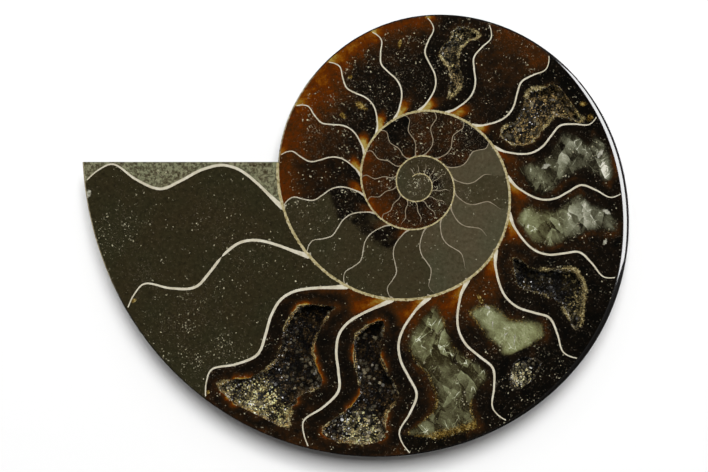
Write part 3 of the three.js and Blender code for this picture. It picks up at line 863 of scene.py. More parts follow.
def add_aperture(body, rows, rings, edge):
    """Sawn end of the body chamber, between the first and last column of the outer surface."""
    end = [row[-1] for row in rows]
    start = [row[0] for row in rows][::-1]
    loop = np.array(end + [rings[0][0]] + start + list(edge[::-1]))
    points = np.vstack(body.vertices)[loop]
    flat = np.column_stack([-points[:, 0], points[:, 2]])
    spans = zip(flat.min(0), flat.max(0))
    x, z = np.meshgrid(*(np.arange(low, high, CUT_SPACING) for low, high in spans))
    fill = np.column_stack([x.ravel(), z.ravel()])
    fill += CUT_JITTER * rng.standard_normal(fill.shape)
    fill = fill[inside_polygon(fill, flat)]
    fill = fill[nearest_distance(fill, flat) > CUT_CLEAR]
    plan = [Vector(p) for p in np.vstack([flat, fill])]
    _, _, faces, sources, _, _ = delaunay_2d_cdt(plan, [], [list(range(len(flat)))], 1, TINY, True)
    sunk = CUT_ROUGHNESS * rng.random(len(fill)) ** 2
    deep = np.column_stack([-fill[:, 0], COIL_Y + APERTURE_OFFSET - sunk, fill[:, 1]])
    index = np.append(loop, body.add(deep))
    origin = [index[ids[0]] for ids in sources]
    body.face([[origin[i] for i in face] for face in faces], "cut")


def add_bowl(body, rings):
    """Wall and floor of a hollow. Gives the vertices of its edge."""
    lines = [body.add(points) for points in rings]
    for upper, lower in zip(lines[:-1], lines[1:]):
        body.band(upper, lower, "bowl", closed=True)
    half = HOLLOW_STEPS + 1
    body.face(zip_quads(lines[-1][:half], lines[-1][half:][::-1]), "bowl")
    return lines[0]


def build_body():
    """The stone's mesh, the outlines and rings of its hollows, and the lines of its outer surface."""
    body = Body()
    grid, angle, rows, rings = add_shell(body)
    first, last = grid[0, 0], grid[0, -1]
    steps = np.linspace(0, 1, APERTURE_EDGE_STEPS + 2)[1:-1, None]
    edge = body.add(last + (first - last) * steps)
    add_aperture(body, rows, rings, edge)

    bowl_rings = {name: hollow_rings(hollow) for name, hollow in HOLLOWS.items()}
    tops = [add_bowl(body, rings_down) for rings_down in bowl_rings.values()]
    every = np.vstack(body.vertices)
    border = np.concatenate([rows[0], edge, *tops])
    plan = FacePlan()
    plan.loop(every[np.concatenate([rows[0], edge])][:, :2], "outline")
    for top in tops:
        plan.loop(every[top][:, :2], "hollow")
    for belly in SEPTA:
        plan.strip(septum_strip(belly), "septum", SEPTUM_STEPS)
    plan.strip(wall_strip(), "wall", WALL_STRETCH)

    points, kinds, sources = plan.triangulate()
    index = np.full(len(points), -1)
    for i, ids in enumerate(sources):
        known = [s for s in ids if s < len(border)]
        if known:
            index[i] = border[known[0]]
    used = np.unique(np.vstack(list(kinds.values())))
    fresh = used[index[used] < 0]
    index[fresh] = body.add(np.column_stack([points[fresh], np.full(len(fresh), THICKNESS)]))
    for kind, triangles in kinds.items():
        body.face(index[triangles], kind)
    return body, plan.regions["hollow"], bowl_rings, angle, rows, rings


def add_object(name, data):
    piece = bpy.data.objects.new(name, data)
    bpy.context.scene.collection.objects.link(piece)
    return piece


def make_object(name, vertices, polygons, materials):
    mesh = bpy.data.meshes.new(name)
    mesh.from_pydata((np.asarray(vertices) * MM).tolist(), [], polygons)
    for material in materials:
        mesh.materials.append(material)
    return add_object(name, mesh)


def set_field(piece, name, values):
    attribute = piece.data.attributes.new(name, "FLOAT", "POINT")
    attribute.data.foreach_set("value", np.asarray(values, np.float32))


def set_map(piece, spots):
    """Flat map of a piece, from a place between 0 and 1 for every corner of its polygons."""
    layer = piece.data.uv_layers.new(name="OFBake")
    layer.uv.foreach_set("vector", np.asarray(spots, np.float32).ravel())


def corner_list(polygons):
    """Vertex of every corner of some polygons, one after another."""
    return np.array([i for polygon in polygons for i in polygon])


# Materials

LIGHT_LEVEL = 1.9


def colour(red, green, blue):
    """Colour of a surface that looks like these 0 to 255 screen values under the studio light."""
    values = np.array([red, green, blue]) / 255
    linear = np.where(values <= 0.04045, values / 12.92, ((values + 0.055) / 1.055) ** 2.4)
    return (*(float(v) for v in linear / LIGHT_LEVEL), 1.0)


def stops(*rows):
    """Stops of a colour ramp, from a position and three screen values for each."""
    return [(position, colour(*tone)) for position, *tone in rows]


SLANT_TURN, SLANT_SQUEEZE = (0.5, 0.3, math.radians(35)), (1.0, 0.6, 1.0)


class Nodes:
    """A node tree under construction."""

    def __init__(self, tree):
        self.tree = tree

    def feed(self, socket, value):
        if isinstance(value, bpy.types.NodeSocket):
            self.tree.links.new(value, socket)
        else:
            socket.default_value = value

    def node(self, kind, inputs, **settings):
        """A new node with its settings, and a value or a link for each input named."""
        node = self.tree.nodes.new("ShaderNode" + kind)
        for name, value in settings.items():
            setattr(node, name, value)
        for socket, value in inputs.items():
            self.feed(node.inputs[socket], value)
        return node

    def math(self, operation, *values, clamp=False):
        inputs = dict(enumerate(values))
        return self.node("Math", inputs, operation=operation, use_clamp=clamp).outputs[0]

    def ramp(self, value, tones):
        node = self.node("ValToRGB", {"Fac": value})
        elements = node.color_ramp.elements
        while len(elements) < len(tones):
            elements.new(0.5)
        for element, (position, tone) in zip(elements, tones):
            element.position = position
            element.color = tone
        return node.outputs["Color"]


class Shade(Nodes):
    """A material under construction, with short names for the nodes it is made of."""

    def __init__(self, name, **settings):
        self.material = bpy.data.materials.new(name)
        self.material.use_nodes = True
        super().__init__(self.material.node_tree)
        self.tree.nodes.clear()
        inputs = {socket.replace("_", " "): value for socket, value in settings.items()}
        self.shader = self.node("BsdfPrincipled", inputs)
        self.node("OutputMaterial", {"Surface": self.shader.outputs["BSDF"]})

    def painted(self, tone):
        """The finished material, in a colour."""
        self.feed(self.shader.inputs["Base Color"], tone)
        return self.material

    def place(self):
        """Position in millimetres."""
        where = self.node("TexCoord", {}).outputs["Object"]
        return self.node("VectorMath", {0: where, "Scale": 1 / MM}, operation="SCALE").outputs[0]

    def field(self, name, output="Fac"):
        return self.node("Attribute", {}, attribute_name=name).outputs[output]

    def noise(self, place, scale, detail=4.0, roughness=0.55):
        inputs = {"Vector": place, "Scale": scale, "Detail": detail, "Roughness": roughness}
        return self.node("TexNoise", inputs).outputs["Fac"]

    def cells(self, place, scale, output="Distance", metric="EUCLIDEAN", feature="F1"):
        inputs = {"Vector": place, "Scale": scale}
        return self.node("TexVoronoi", inputs, feature=feature, distance=metric).outputs[output]

    def times(self, first, second):
        return self.math("MULTIPLY", first, second)

    def swayed(self, base, *noises):
        """A base value raised and lowered by noises, each with its amount."""
        for value, amount in noises:
            base = self.math("MULTIPLY_ADD", self.math("SUBTRACT", value, 0.5), amount, base)
        return base

    def step(self, value, low, high):
        """0 below low, 1 above high, smooth between."""
        inputs = {"Value": value, "From Min": low, "From Max": high}
        return self.node("MapRange", inputs, interpolation_type="SMOOTHSTEP").outputs["Result"]

    def mix(self, share, first, second, blend="MIX"):
        inputs = {0: share, 6: first, 7: second}
        return self.node("Mix", inputs, data_type="RGBA", blend_type=blend).outputs[2]

    def vector(self, operation, first, second):
        node = self.node("VectorMath", {0: first, 1: second}, operation=operation)
        return node.outputs["Value" if operation == "DOT_PRODUCT" else "Vector"]

    def stretched(self, place, x, y):
        return self.vector("MULTIPLY", place, (x, y, 1.0))

    def sheared(self, place):
        """Position turned and slanted, so that square blocks become rhombs."""
        inputs = {"Vector": place, "Rotation": SLANT_TURN, "Scale": SLANT_SQUEEZE}
        return self.node("Mapping", inputs).outputs[0]

    def parts(self, tone):
        """Red, green and blue of a colour as three numbers."""
        return self.node("SeparateColor", {0: tone}).outputs

    def warp(self, place, amount, scale):
        """Position shifted by noise."""
        push = self.node("TexNoise", {"Vector": place, "Scale": scale}).outputs["Color"]
        inputs = {0: push, 1: (amount, amount, amount), 2: place}
        return self.node("VectorMath", inputs, operation="MULTIPLY_ADD").outputs[0]

    def bump(self, height, strength, distance):
        bumps = self.node("Bump", {"Strength": strength, "Distance": distance * MM, "Height": height})
        self.feed(self.shader.inputs["Normal"], bumps.outputs["Normal"])


SHELL_POLISH = {"Roughness": 0.45, "Coat_Weight": 1.0, "Coat_Roughness": 0.07, "Specular_IOR_Level": 0.03}
POLISH = {"Roughness": 0.5, "Coat_Weight": 1.0, "Coat_Roughness": 0.03, "Specular_IOR_Level": 0.0}

AMBER_STOPS = stops(
    (0.0, 10, 9, 7), (0.2, 23, 17, 11), (0.36, 43, 27, 13), (0.52, 68, 36, 10), (0.66, 92, 39, 3),
    (0.8, 128, 72, 10), (0.92, 146, 116, 42), (1.0, 172, 150, 80),
)
CRUMB_STOPS = stops((0.36, 40, 30, 16), (0.51, 140, 124, 80), (0.67, 214, 202, 158))
MATRIX_STOPS = stops(
    (0.0, 22, 20, 13), (0.2, 47, 43, 27), (0.45, 64, 59, 41), (0.65, 84, 79, 60), (0.85, 106, 108, 82),
    (1.0, 136, 138, 110),
)
MATRIX_STAINS = [(0.36, (1.08, 0.98, 0.96, 1)), (0.64, (0.95, 1.01, 0.99, 1))]
PALE_STOPS = stops(
    (0.0, 16, 13, 8), (0.28, 44, 42, 31), (0.46, 80, 79, 63), (0.66, 116, 116, 98), (0.85, 166, 165, 146),
    (1.0, 236, 232, 216),
)
GREEN_STOPS = stops(
    (0.0, 18, 14, 7), (0.28, 56, 49, 26), (0.46, 98, 95, 62), (0.66, 134, 137, 94), (0.85, 170, 174, 134),
    (1.0, 228, 230, 208),
)
GOLD_STOPS = stops((0.36, 30, 18, 6), (0.47, 88, 64, 20), (0.57, 150, 126, 62), (0.7, 226, 212, 158))
DULL_FLECKS = stops((0.35, 52, 42, 32), (0.65, 112, 102, 86))
CREAM_FLECKS = stops((0.35, 140, 132, 98), (0.65, 220, 214, 186))
CHIP_STOPS = stops((0.35, 110, 106, 86), (0.65, 200, 198, 182))
EARLY_SEPTUM = stops((0.3, 126, 114, 92), (0.7, 166, 154, 132))
LATE_SEPTUM = stops((0.3, 200, 190, 164), (0.7, 232, 226, 206))
WALL_STOPS = stops((0.32, 104, 88, 50), (0.48, 178, 164, 118), (0.7, 222, 212, 178))
SHELL_STOPS = stops(
    (0.26, 34, 24, 15), (0.42, 72, 48, 24), (0.54, 112, 82, 42), (0.66, 96, 88, 58), (0.8, 142, 126, 86),
)
PEARL_STOPS = stops(
    (0.3, 112, 74, 54), (0.42, 160, 122, 88), (0.52, 138, 142, 104), (0.62, 186, 172, 136),
    (0.74, 124, 134, 128),
)
NACRE_STOPS = stops((0.35, 120, 104, 70), (0.65, 206, 194, 160))
CRYSTAL_WEAR = [(0.3, (0.45, 0.42, 0.35, 1)), (0.7, (1, 1, 1, 1))]
SUTURE_TONE, FURROW_SHADE_TONE, RIM_TONE = colour(24, 16, 10), colour(20, 14, 9), colour(14, 12, 10)
LEAST_FLECK, FLECK_STRENGTH = 0.4, (0.75, 0.25)
# Strength of the painted shading across each calcite block
BLOCK_SLOPE = 1.8
CRACK_WIDTH, CRACK_SHOWN = 0.06, (0.52, 0.66)


def speckles(shade, place, scale, density, size):
    """Small scattered flecks, each of its own strength up to 1, and 0 elsewhere."""
    distance = shade.cells(place, scale)
    lot = shade.parts(shade.cells(place, scale, output="Color"))
    picked = shade.math("LESS_THAN", lot[0], density)
    reach = shade.math("MULTIPLY_ADD", lot[1], size, LEAST_FLECK * size)
    dot = shade.math("LESS_THAN", distance, reach)
    strength = shade.math("MULTIPLY_ADD", lot[2], *FLECK_STRENGTH)
    return shade.times(shade.times(picked, dot), strength)


def cleavage(shade, place, scale):
    """Brightness of calcite blocks cut through: a tone of its own for each, and painted shading across it as
    if it were a plane sloping its own way.
    """
    lot = shade.cells(place, scale, output="Color", metric="CHEBYCHEV")
    corner = shade.cells(place, scale, output="Position", metric="CHEBYCHEV")
    offset = shade.vector("SUBTRACT", place, corner)
    slope = shade.vector("SUBTRACT", lot, (0.5, 0.5, 0.5))
    tilt = shade.vector("DOT_PRODUCT", offset, slope)
    level = shade.math("SUBTRACT", shade.parts(lot)[2], 0.5)
    return shade.math("MULTIPLY_ADD", tilt, BLOCK_SLOPE * scale, level)


def cracks(shade, place, scale):
    """Straight healed cracks between blocks of calcite, which come and go: 1 on a crack, 0 elsewhere."""
    away = shade.cells(shade.warp(place, amount=0.5, scale=0.8), scale, feature="DISTANCE_TO_EDGE")
    line = shade.math("SUBTRACT", 1.0, shade.step(away, 0.0, CRACK_WIDTH))
    shown = shade.step(shade.noise(place, scale=0.5, roughness=0.65), *CRACK_SHOWN)
    return shade.times(line, shown)


def pale_crystal(shade, place, grain):
    """Colour of the pale calcite masses, with painted shading on their facets, and the noise that makes their
    edges ragged.
    """
    drift = shade.warp(place, amount=1.4, scale=0.4)
    veil = shade.noise(drift, scale=0.34, detail=8, roughness=0.7)
    silk = shade.noise(shade.stretched(shade.sheared(drift), 0.4, 2.4), scale=0.8, detail=6, roughness=0.7)
    slant = shade.sheared(place)
    twice = shade.sheared(slant)
    # Two families of calcite blocks, each with a tone of its own and painted shading across it as if it
    # sloped
    shards = cleavage(shade, shade.stretched(slant, 0.55, 1.5), 0.3)
    splinters = cleavage(shade, shade.stretched(twice, 1.5, 0.6), 0.42)
    blocks = shade.math("MULTIPLY_ADD", splinters, 0.7, shards)
    facet = shade.times(blocks, shade.times(shade.field("facet"), 0.34))
    inside = shade.math("MULTIPLY_ADD", shade.field("pale"), 0.75, 0.25)
    veiling = shade.math("MULTIPLY_ADD", shade.field("facet"), -0.35, 0.8)
    lit = shade.times(shade.field("milk"), inside)
    lit = shade.swayed(lit, (veil, veiling), (silk, 0.42), (grain, 0.4))
    lit = shade.math("ADD", lit, facet)
    first = cracks(shade, shade.stretched(slant, 0.5, 1.3), 0.62)
    second = cracks(shade, shade.stretched(twice, 1.3, 0.5), 0.8)
    veins = shade.times(shade.math("MAXIMUM", first, second), shade.field("veins"))
    lit = shade.math("MULTIPLY_ADD", veins, 0.55, lit, clamp=True)
    return shade.mix(shade.field("green"), shade.ramp(lit, PALE_STOPS), shade.ramp(lit, GREEN_STOPS)), veil


def add_flecks(shade, tone, place, grain):
    """Pale dust and larger flecks over a colour, gathered in clusters."""
    gather = shade.step(shade.noise(place, scale=0.3, detail=5), 0.44, 0.66)
    density = shade.times(shade.field("speck"), gather)
    uneven = shade.warp(place, amount=0.6, scale=2.5)
    dust = speckles(shade, uneven, 3.8, shade.times(shade.field("speck"), 0.19), 0.44)
    fine = speckles(shade, uneven, 2.9, shade.times(density, 0.18), 0.4)
    coarse = speckles(shade, uneven, 1.5, shade.times(density, 0.09), 0.29)
    tone = shade.mix(shade.times(dust, 0.75), tone, shade.ramp(grain, DULL_FLECKS))
    return shade.mix(shade.math("MAXIMUM", fine, coarse), tone, shade.ramp(grain, CREAM_FLECKS))


def face_material():
    """Polished section: amber and dark calcite, grey matrix and pale crystal masses with flecks."""
    shade = Shade("polished_section", **POLISH)
    place = shade.place()
    clouds = shade.noise(shade.warp(place, amount=2.2, scale=0.5), scale=0.3, detail=8, roughness=0.68)
    mottle = shade.noise(place, scale=1.1, detail=5, roughness=0.62)
    grain = shade.noise(place, scale=3.6)
    crumbs = shade.noise(place, scale=3.0, detail=5, roughness=0.72)
    bits = shade.noise(place, scale=1.7, roughness=0.75)
    glow = shade.swayed(shade.field("glow"), (clouds, 0.72), (mottle, 0.36), (grain, 0.26))
    tone = shade.ramp(glow, AMBER_STOPS)

    ragged = shade.swayed(shade.field("matrix"), (clouds, 0.9))
    rough = shade.math("MULTIPLY_ADD", shade.step(shade.field("light"), 0.62, 0.82), 1.6, 0.42)
    light = shade.swayed(shade.field("light"), (bits, rough), (mottle, rough))
    stain = shade.ramp(shade.noise(place, scale=0.09), MATRIX_STAINS)
    earth = shade.mix(1.0, shade.ramp(light, MATRIX_STOPS), stain, blend="MULTIPLY")
    tone = shade.mix(shade.step(ragged, 0.36, 0.64), tone, earth)

    crystal, veil = pale_crystal(shade, place, grain)
    feather = shade.swayed(shade.field("pale"), (veil, 0.9), (crumbs, 0.9))
    tone = shade.mix(shade.step(feather, 0.14, 0.84), tone, crystal)
    tone = add_flecks(shade, tone, place, grain)

    chip = shade.step(shade.swayed(shade.field("cream"), (crumbs, 2.0)), 0.5, 0.7)
    tone = shade.mix(chip, tone, shade.ramp(mottle, CHIP_STOPS))
    for name, tones, low in (("gold", GOLD_STOPS, 0.42), ("crumb", CRUMB_STOPS, 0.5)):
        broken = shade.swayed(shade.field(name), (crumbs, 2.8))
        tone = shade.mix(shade.step(broken, low, low + 0.25), tone, shade.ramp(bits, tones))
    return shade.painted(tone)


def septum_material():
    """Cream calcite of the septa, duller in early growth."""
    shade = Shade("septum_calcite", **POLISH)
    cloud = shade.noise(shade.place(), scale=0.7, detail=5)
    grown = shade.step(shade.field("growth"), 0.5, 0.75)
    return shade.painted(shade.mix(grown, shade.ramp(cloud, EARLY_SEPTUM), shade.ramp(cloud, LATE_SEPTUM)))


def wall_material():
    """Tan, granular calcite of the coiled wall."""
    shade = Shade("wall_calcite", **POLISH)
    cloud = shade.noise(shade.place(), scale=1.6, detail=6, roughness=0.7)
    return shade.painted(shade.ramp(cloud, WALL_STOPS))


def shell_material():
    """Polished outside of the shell: brown with growth lines, pearly patches, frilled sutures and painted
    shade in the furrows.
    """
    shade = Shade("polished_shell", **SHELL_POLISH)
    place = shade.place()
    lines = shade.noise(shade.field("lag"), scale=1.3, detail=6, roughness=0.7)
    bands = shade.noise(shade.field("lag"), scale=0.07, detail=3)
    cloud = shade.noise(shade.warp(place, amount=4.0, scale=0.2), scale=0.16, detail=7, roughness=0.6)
    tone = shade.ramp(shade.swayed(cloud, (lines, 0.4), (bands, 0.4)), SHELL_STOPS)
    pearl = shade.ramp(shade.swayed(shade.noise(place, scale=0.11), (lines, 0.8)), PEARL_STOPS)
    bare = shade.step(shade.swayed(shade.noise(place, scale=0.045, detail=5), (cloud, 0.5)), 0.5, 0.62)
    tone = shade.mix(shade.times(bare, 0.75), tone, pearl)
    frill = shade.noise(shade.warp(place, amount=3.0, scale=0.25), scale=0.34, detail=6, roughness=0.68)
    away = shade.math("PINGPONG", shade.swayed(shade.field("suture"), (frill, 1.7)), 0.5)
    suture = shade.math("SUBTRACT", 1.0, shade.step(away, 0.006, 0.022))
    tone = shade.mix(shade.times(suture, 0.75), tone, SUTURE_TONE)
    # Painted shade: the furrows between the ribs are darkened
    tone = shade.mix(shade.times(shade.field("furrow"), 0.35), tone, FURROW_SHADE_TONE)
    worn = shade.step(shade.swayed(shade.field("rim"), (cloud, 0.8), (lines, 0.8)), 0.25, 0.75)
    tone = shade.mix(worn, tone, RIM_TONE)
    nacre = shade.ramp(shade.noise(place, scale=1.4, detail=5), NACRE_STOPS)
    return shade.painted(shade.mix(shade.field("nacre"), tone, nacre))


def cut_material():
    """Rough sawn sediment of the body chamber's end."""
    shade = Shade("sawn_sediment", Roughness=0.75)
    place = shade.place()
    shade.bump(shade.noise(place, scale=4.0, detail=5), 0.5, 0.2)
    return shade.painted(shade.ramp(shade.noise(place, scale=0.5, detail=8, roughness=0.7), MATRIX_STOPS))


def bowl_material():
    """Dark calcite behind the crystals of the hollows."""
    shade = Shade("hollow_calcite", Roughness=0.5, Specular_IOR_Level=0.1)
    cloud = shade.noise(shade.place(), scale=1.2, detail=6, roughness=0.65)
    shade.bump(cloud, 0.6, 0.3)
    return shade.painted(shade.ramp(shade.swayed(shade.field("glow"), (cloud, 0.5)), AMBER_STOPS))


def crystal_material():
    """Druzy crystals, each with its own tint."""
    shade = Shade("druzy_calcite", Roughness=0.18, Specular_IOR_Level=0.5)
    worn = shade.ramp(shade.noise(shade.place(), scale=2.5), CRYSTAL_WEAR)
    return shade.painted(shade.mix(1.0, shade.field("tint", "Color"), worn, blend="MULTIPLY"))


# Stone

SUTURE_LOBES = 5
SUTURE_TURNS = 9
KEEL_WEAR = 0.7
NACRE_SHOWN = 0.8
NACRE_ANGLES = (158, 166), (-185, -178), (-140, -128)
SHARP_ANGLE = 14
MATERIAL_MAKERS = (face_material, septum_material, wall_material, shell_material, cut_material, bowl_material)


def shell_fields(angle, rows, count):
    """Weights of the dark polished rim, of bare nacre and of painted shade in the furrows, with growth lines
    and sutures.
    """
    fields = {name: np.zeros(count) for name in ("rim", "nacre", "furrow", "lag")}
    fields["suture"] = np.full(count, 0.5)
    sunk = furrow(angle)
    lag = growth_line(angle)
    lobed = angle - SUTURE_LOBES * np.cos(SUTURE_TURNS * SHELL_ROWS[:, None])
    sutures = np.interp(lobed, SEPTA, np.arange(len(SEPTA)))
    for row, line in enumerate(rows):
        fields["furrow"][line] = sunk[row]
        fields["lag"][line] = lag[row]
        if row >= len(RIM_PROFILE) + len(KEEL_SHARES):
            fields["suture"][line] = sutures[row]
            continue
        fields["rim"][line] = 1.0 if row < len(RIM_PROFILE) else KEEL_WEAR
        late, early, gone = (smoothstep(*span, angle[row]) for span in NACRE_ANGLES)
        fields["nacre"][line] = NACRE_SHOWN * np.clip(late + early * (1 - gone), 0, 1)
    return fields


# Flat map of the stone in pixels: the face and hollows seen from above, the shell unrolled in a strip
# below them, and the sawn end in the corner that the outline leaves free
MAP_PIXELS = 1024
MAP_MARGIN = 4
FACE_PIXELS_PER_MM = 7.0
CUT_PIXELS_PER_MM = 4.2
STRIP_PIXELS = 228
LEAST_ROW = 0.35


def shell_places(body, vertices, corners, lines):
    """Column and distance from the rim, for polygon corners on the unrolled shell."""
    column = np.zeros(len(vertices))
    away = np.zeros(len(vertices))
    reach = 0
    for before, line in zip([lines[0]] + lines[:-1], lines):
        steps = vertices[line][:COLUMNS] - vertices[before][:COLUMNS]
        reach += max(np.linalg.norm(steps, axis=1).mean(), LEAST_ROW)
        column[line] = np.arange(len(line))
        away[line] = reach
    sizes = [len(polygon) for polygon in body.polygons]
    widest = np.maximum.reduceat(column[corners], np.cumsum([0] + sizes[:-1]))
    over_seam = (np.repeat(widest, sizes) > COLUMNS / 2) & (column[corners] == 0)
    turned = np.where(over_seam, COLUMNS, column[corners])
    turned[corners == lines[-1][0]] = np.arange(COLUMNS) + 0.5
    return turned / COLUMNS, away[corners] / reach


def stone_map(body, vertices, lines):
    corners = corner_list(body.polygons)
    worn = np.repeat(body.materials, [len(polygon) for polygon in body.polygons])
    places = vertices[corners] - vertices.min(0)
    spots = MAP_MARGIN + FACE_PIXELS_PER_MM * places[:, :2]
    spots[:, 1] += STRIP_PIXELS + MAP_MARGIN
    shell = worn == MATERIAL_ORDER.index("shell")
    turned, away = shell_places(body, vertices, corners, lines)
    unrolled = np.column_stack([(MAP_PIXELS - 2 * MAP_MARGIN) * turned, STRIP_PIXELS * away])
    spots[shell] = MAP_MARGIN + unrolled[shell]
    cut = worn == MATERIAL_ORDER.index("cut")
    sawn = CUT_PIXELS_PER_MM * np.column_stack([places[:, 0], places[:, 2] - THICKNESS])
    spots[cut] = sawn[cut] + (MAP_MARGIN, MAP_PIXELS - MAP_MARGIN)
    return spots / MAP_PIXELS


def make_stone():
    """The stone in its frame. Gives the rings of its hollows."""
    body, loops, bowl_rings, shell_angle, rows, rings = build_body()
    vertices = np.vstack(body.vertices)
    materials = [make_material() for make_material in MATERIAL_MAKERS]
    stone = make_object("stone_half", vertices, body.polygons, materials)
    stone.data.polygons.foreach_set("material_index", np.asarray(body.materials, np.int32))
    set_map(stone, stone_map(body, vertices, rows + rings))
    fields = shell_fields(shell_angle, rows, len(vertices))
    on_face = vertices[:, 2] > THICKNESS - TINY
    plan = vertices[on_face][:, :2]
    face_fields = chamber_fields(plan)
    add_hollow_rims(face_fields, plan, loops)
    for name, values in face_fields.items():
        fields[name] = np.zeros(len(vertices))
        fields[name][on_face] = values
    for name, values in fields.items():
        set_field(stone, name, values)
    stone.data.shade_smooth()
    stone.data.set_sharp_from_angle(angle=math.radians(SHARP_ANGLE))
    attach(stone, "root")
    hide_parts("ammonite_half")
    return bowl_rings


# Crystals of the hollows

CRYSTAL_SIDES = 5
CRYSTAL_FOOT = -0.35
SHOULDER_WIDTH, SHOULDER_HEIGHT = 0.92, 0.5
CRYSTAL_TIP = [[0.1, 0.06, 1.0]]
LEAN, UPWARD = 0.45, 0.25
TOP_GAP, LEAST_GAP = 0.04, 0.02
LEAST_RISE, LEAST_SHRINK = 0.05, 0.35
FLOOR_DENSITY, RIM_DENSITY = 10.5, 15
FLOOR_SIZES, LARGE_SIZES, RIM_SIZES = (0.1, 0.15), (0.32, 0.25), (0.06, 0.08)
FLOOR_LENGTHS, RIM_LENGTHS = (1.4, 1.2), (0.4, 0.9)
FOOT_HEIGHT = 0.6
RIM_RINGS = 4
LARGE_SHARE, LARGE_PATCHES = 0.05, (0.13, -0.15, 0.35)
LARGE_TINT = (116, 108, 88)
HEAP_SHARE = 0.9
CLUSTER_PATCHES, CLUSTER_TINT, CLUSTER_GAIN = (0.7, -0.3, 0.35), 0.25, 1.1
TUFT_PATCHES, LEAST_TUFT, TUFT_GROWTH = (0.3, -0.25, 0.35), 0.25, 0.3
RIM_TINT, RIM_GAIN = 0.3, 0.7
FLOOR_VARIETY, RIM_VARIETY = 0.7, 0.5
TINT_RANGE = (0.003, 0.6)
STEEP = 0.9
# Painted shade: depths in millimetres over which the crystals' tints darken, and by how much
DEEP, DEEPEST = 2.5, 8.0
DEPTH_SHADE = 0.42
CRYSTAL_DRAW_IN = 0.6


def ring_triangles(rings):
    """Triangles of a hollow's wall and floor, as corner points."""
    triangles = []
    for upper, lower in zip(rings[:-1], rings[1:]):
        a, b = upper, np.roll(upper, -1, axis=0)
        c, d = np.roll(lower, -1, axis=0), lower
        triangles += [np.stack([a, b, c], 1), np.stack([a, c, d], 1)]
    return np.vstack(triangles)


def area_normals(triangles):
    """Normals of triangles that point into a hollow, twice as long as each triangle is large."""
    normals = np.cross(triangles[:, 1] - triangles[:, 0], triangles[:, 2] - triangles[:, 0])
    return normals, np.linalg.norm(normals, axis=1)


def scatter(triangles, count):
    """Random points spread evenly over triangles, with their unit normals."""
    normals, areas = area_normals(triangles)
    chosen = rng.choice(len(triangles), count, p=areas / areas.sum())
    u, v = rng.random(count), rng.random(count)
    over = u + v > 1
    u[over], v[over] = 1 - u[over], 1 - v[over]
    corner, second, third = triangles[chosen].transpose(1, 0, 2)
    points = corner + u[:, None] * (second - corner) + v[:, None] * (third - corner)
    return points, normals[chosen] / areas[chosen][:, None]


def crystal_shape():
    """Vertices and faces of a prism with a pointed end, one unit in radius and length."""
    turn = np.arange(CRYSTAL_SIDES) * 2 * math.pi / CRYSTAL_SIDES
    ring = np.column_stack([np.cos(turn), np.sin(turn)])
    base = np.column_stack([ring, np.full(CRYSTAL_SIDES, CRYSTAL_FOOT)])
    shoulder = np.column_stack([SHOULDER_WIDTH * ring, np.full(CRYSTAL_SIDES, SHOULDER_HEIGHT)])
    n = CRYSTAL_SIDES
    sides = [(i, (i + 1) % n) for i in range(n)]
    faces = [(i, j, n + j, n + i) for i, j in sides]
    faces += [(n + i, n + j, 2 * n) for i, j in sides]
    faces.append(tuple(range(n))[::-1])
    return np.vstack([base, shoulder, CRYSTAL_TIP]), faces


CRYSTAL_POINTS, CRYSTAL_FACES = crystal_shape()


def crystal_axes(directions):
    """Two unit vectors across each direction, turned at random about it."""
    helper = np.where(np.abs(directions[:, 2:]) > STEEP, [[1.0, 0, 0]], [[0, 0, 1.0]])
    first = np.cross(directions, helper)
    first /= np.linalg.norm(first, axis=1)[:, None]
    second = np.cross(directions, first)
    turn = rng.random(len(directions))[:, None] * 2 * math.pi
    return first * np.cos(turn) + second * np.sin(turn), second * np.cos(turn) - first * np.sin(turn)


def grow(points, normals, size, length):
    """Vertices of crystals that stand on points and stay below the polished face."""
    lean = normals + LEAN * rng.standard_normal(normals.shape)
    lean[:, 2] += UPWARD
    lean /= np.linalg.norm(lean, axis=1)[:, None]
    room = THICKNESS - TOP_GAP - points[:, 2]
    height = length * np.clip(lean[:, 2], LEAST_RISE, 1) + FOOT_HEIGHT * size
    shrink = np.clip(room / height, LEAST_SHRINK, 1)
    size, length = size * shrink, length * shrink
    across, over = crystal_axes(lean)
    x, y, z = (CRYSTAL_POINTS[None, :, axis, None] for axis in range(3))
    vertices = points[:, None, :] + x * (size[:, None] * across)[:, None, :]
    vertices = vertices + y * (size[:, None] * over)[:, None, :] + z * (length[:, None] * lean)[:, None, :]
    vertices[..., 2] = np.minimum(vertices[..., 2], THICKNESS - LEAST_GAP)
    return vertices


def spread(least, extra, count, power=1):
    """Random values from a least one up, most of them small if the power is more than 1."""
    return least + extra * rng.random(count) ** power


def plain_tint(tone):
    return np.array(colour(*tone))[:3]


def floor_crystals(name, rings):
    """Vertices and tints of the short crystals all over a hollow, with pale heaps and painted shade on the
    deeper ones.
    """
    triangles = ring_triangles(rings)
    count = int(FLOOR_DENSITY * (area_normals(triangles)[1].sum() / 2))
    points, normals = scatter(triangles, count)
    size = spread(*FLOOR_SIZES, count, power=2)
    large = rng.random(count) < LARGE_SHARE * patchy(points[:, :2], *LARGE_PATCHES)
    size = np.where(large, spread(*LARGE_SIZES, count), size)
    vertices = grow(points, normals, size, size * spread(*FLOOR_LENGTHS, count))
    crust = CRUSTS[name]
    heaped = near_heap(points, crust["heaps"]) > HEAP_SHARE * rng.random(count)
    tint = np.where(heaped[:, None], plain_tint(crust["heap"]), plain_tint(crust["floor"]))
    tint = np.where(large[:, None], plain_tint(LARGE_TINT), tint)
    cluster = CLUSTER_TINT + CLUSTER_GAIN * patchy(points[:, :2], *CLUSTER_PATCHES)
    # Painted shade: crystals deeper in the hollow get darker tints
    shaded = 1 - DEPTH_SHADE * smoothstep(DEEP, DEEPEST, THICKNESS - points[:, 2])
    bright = cluster * shaded * np.exp(FLOOR_VARIETY * rng.standard_normal(count))
    return vertices, tint * bright[:, None]


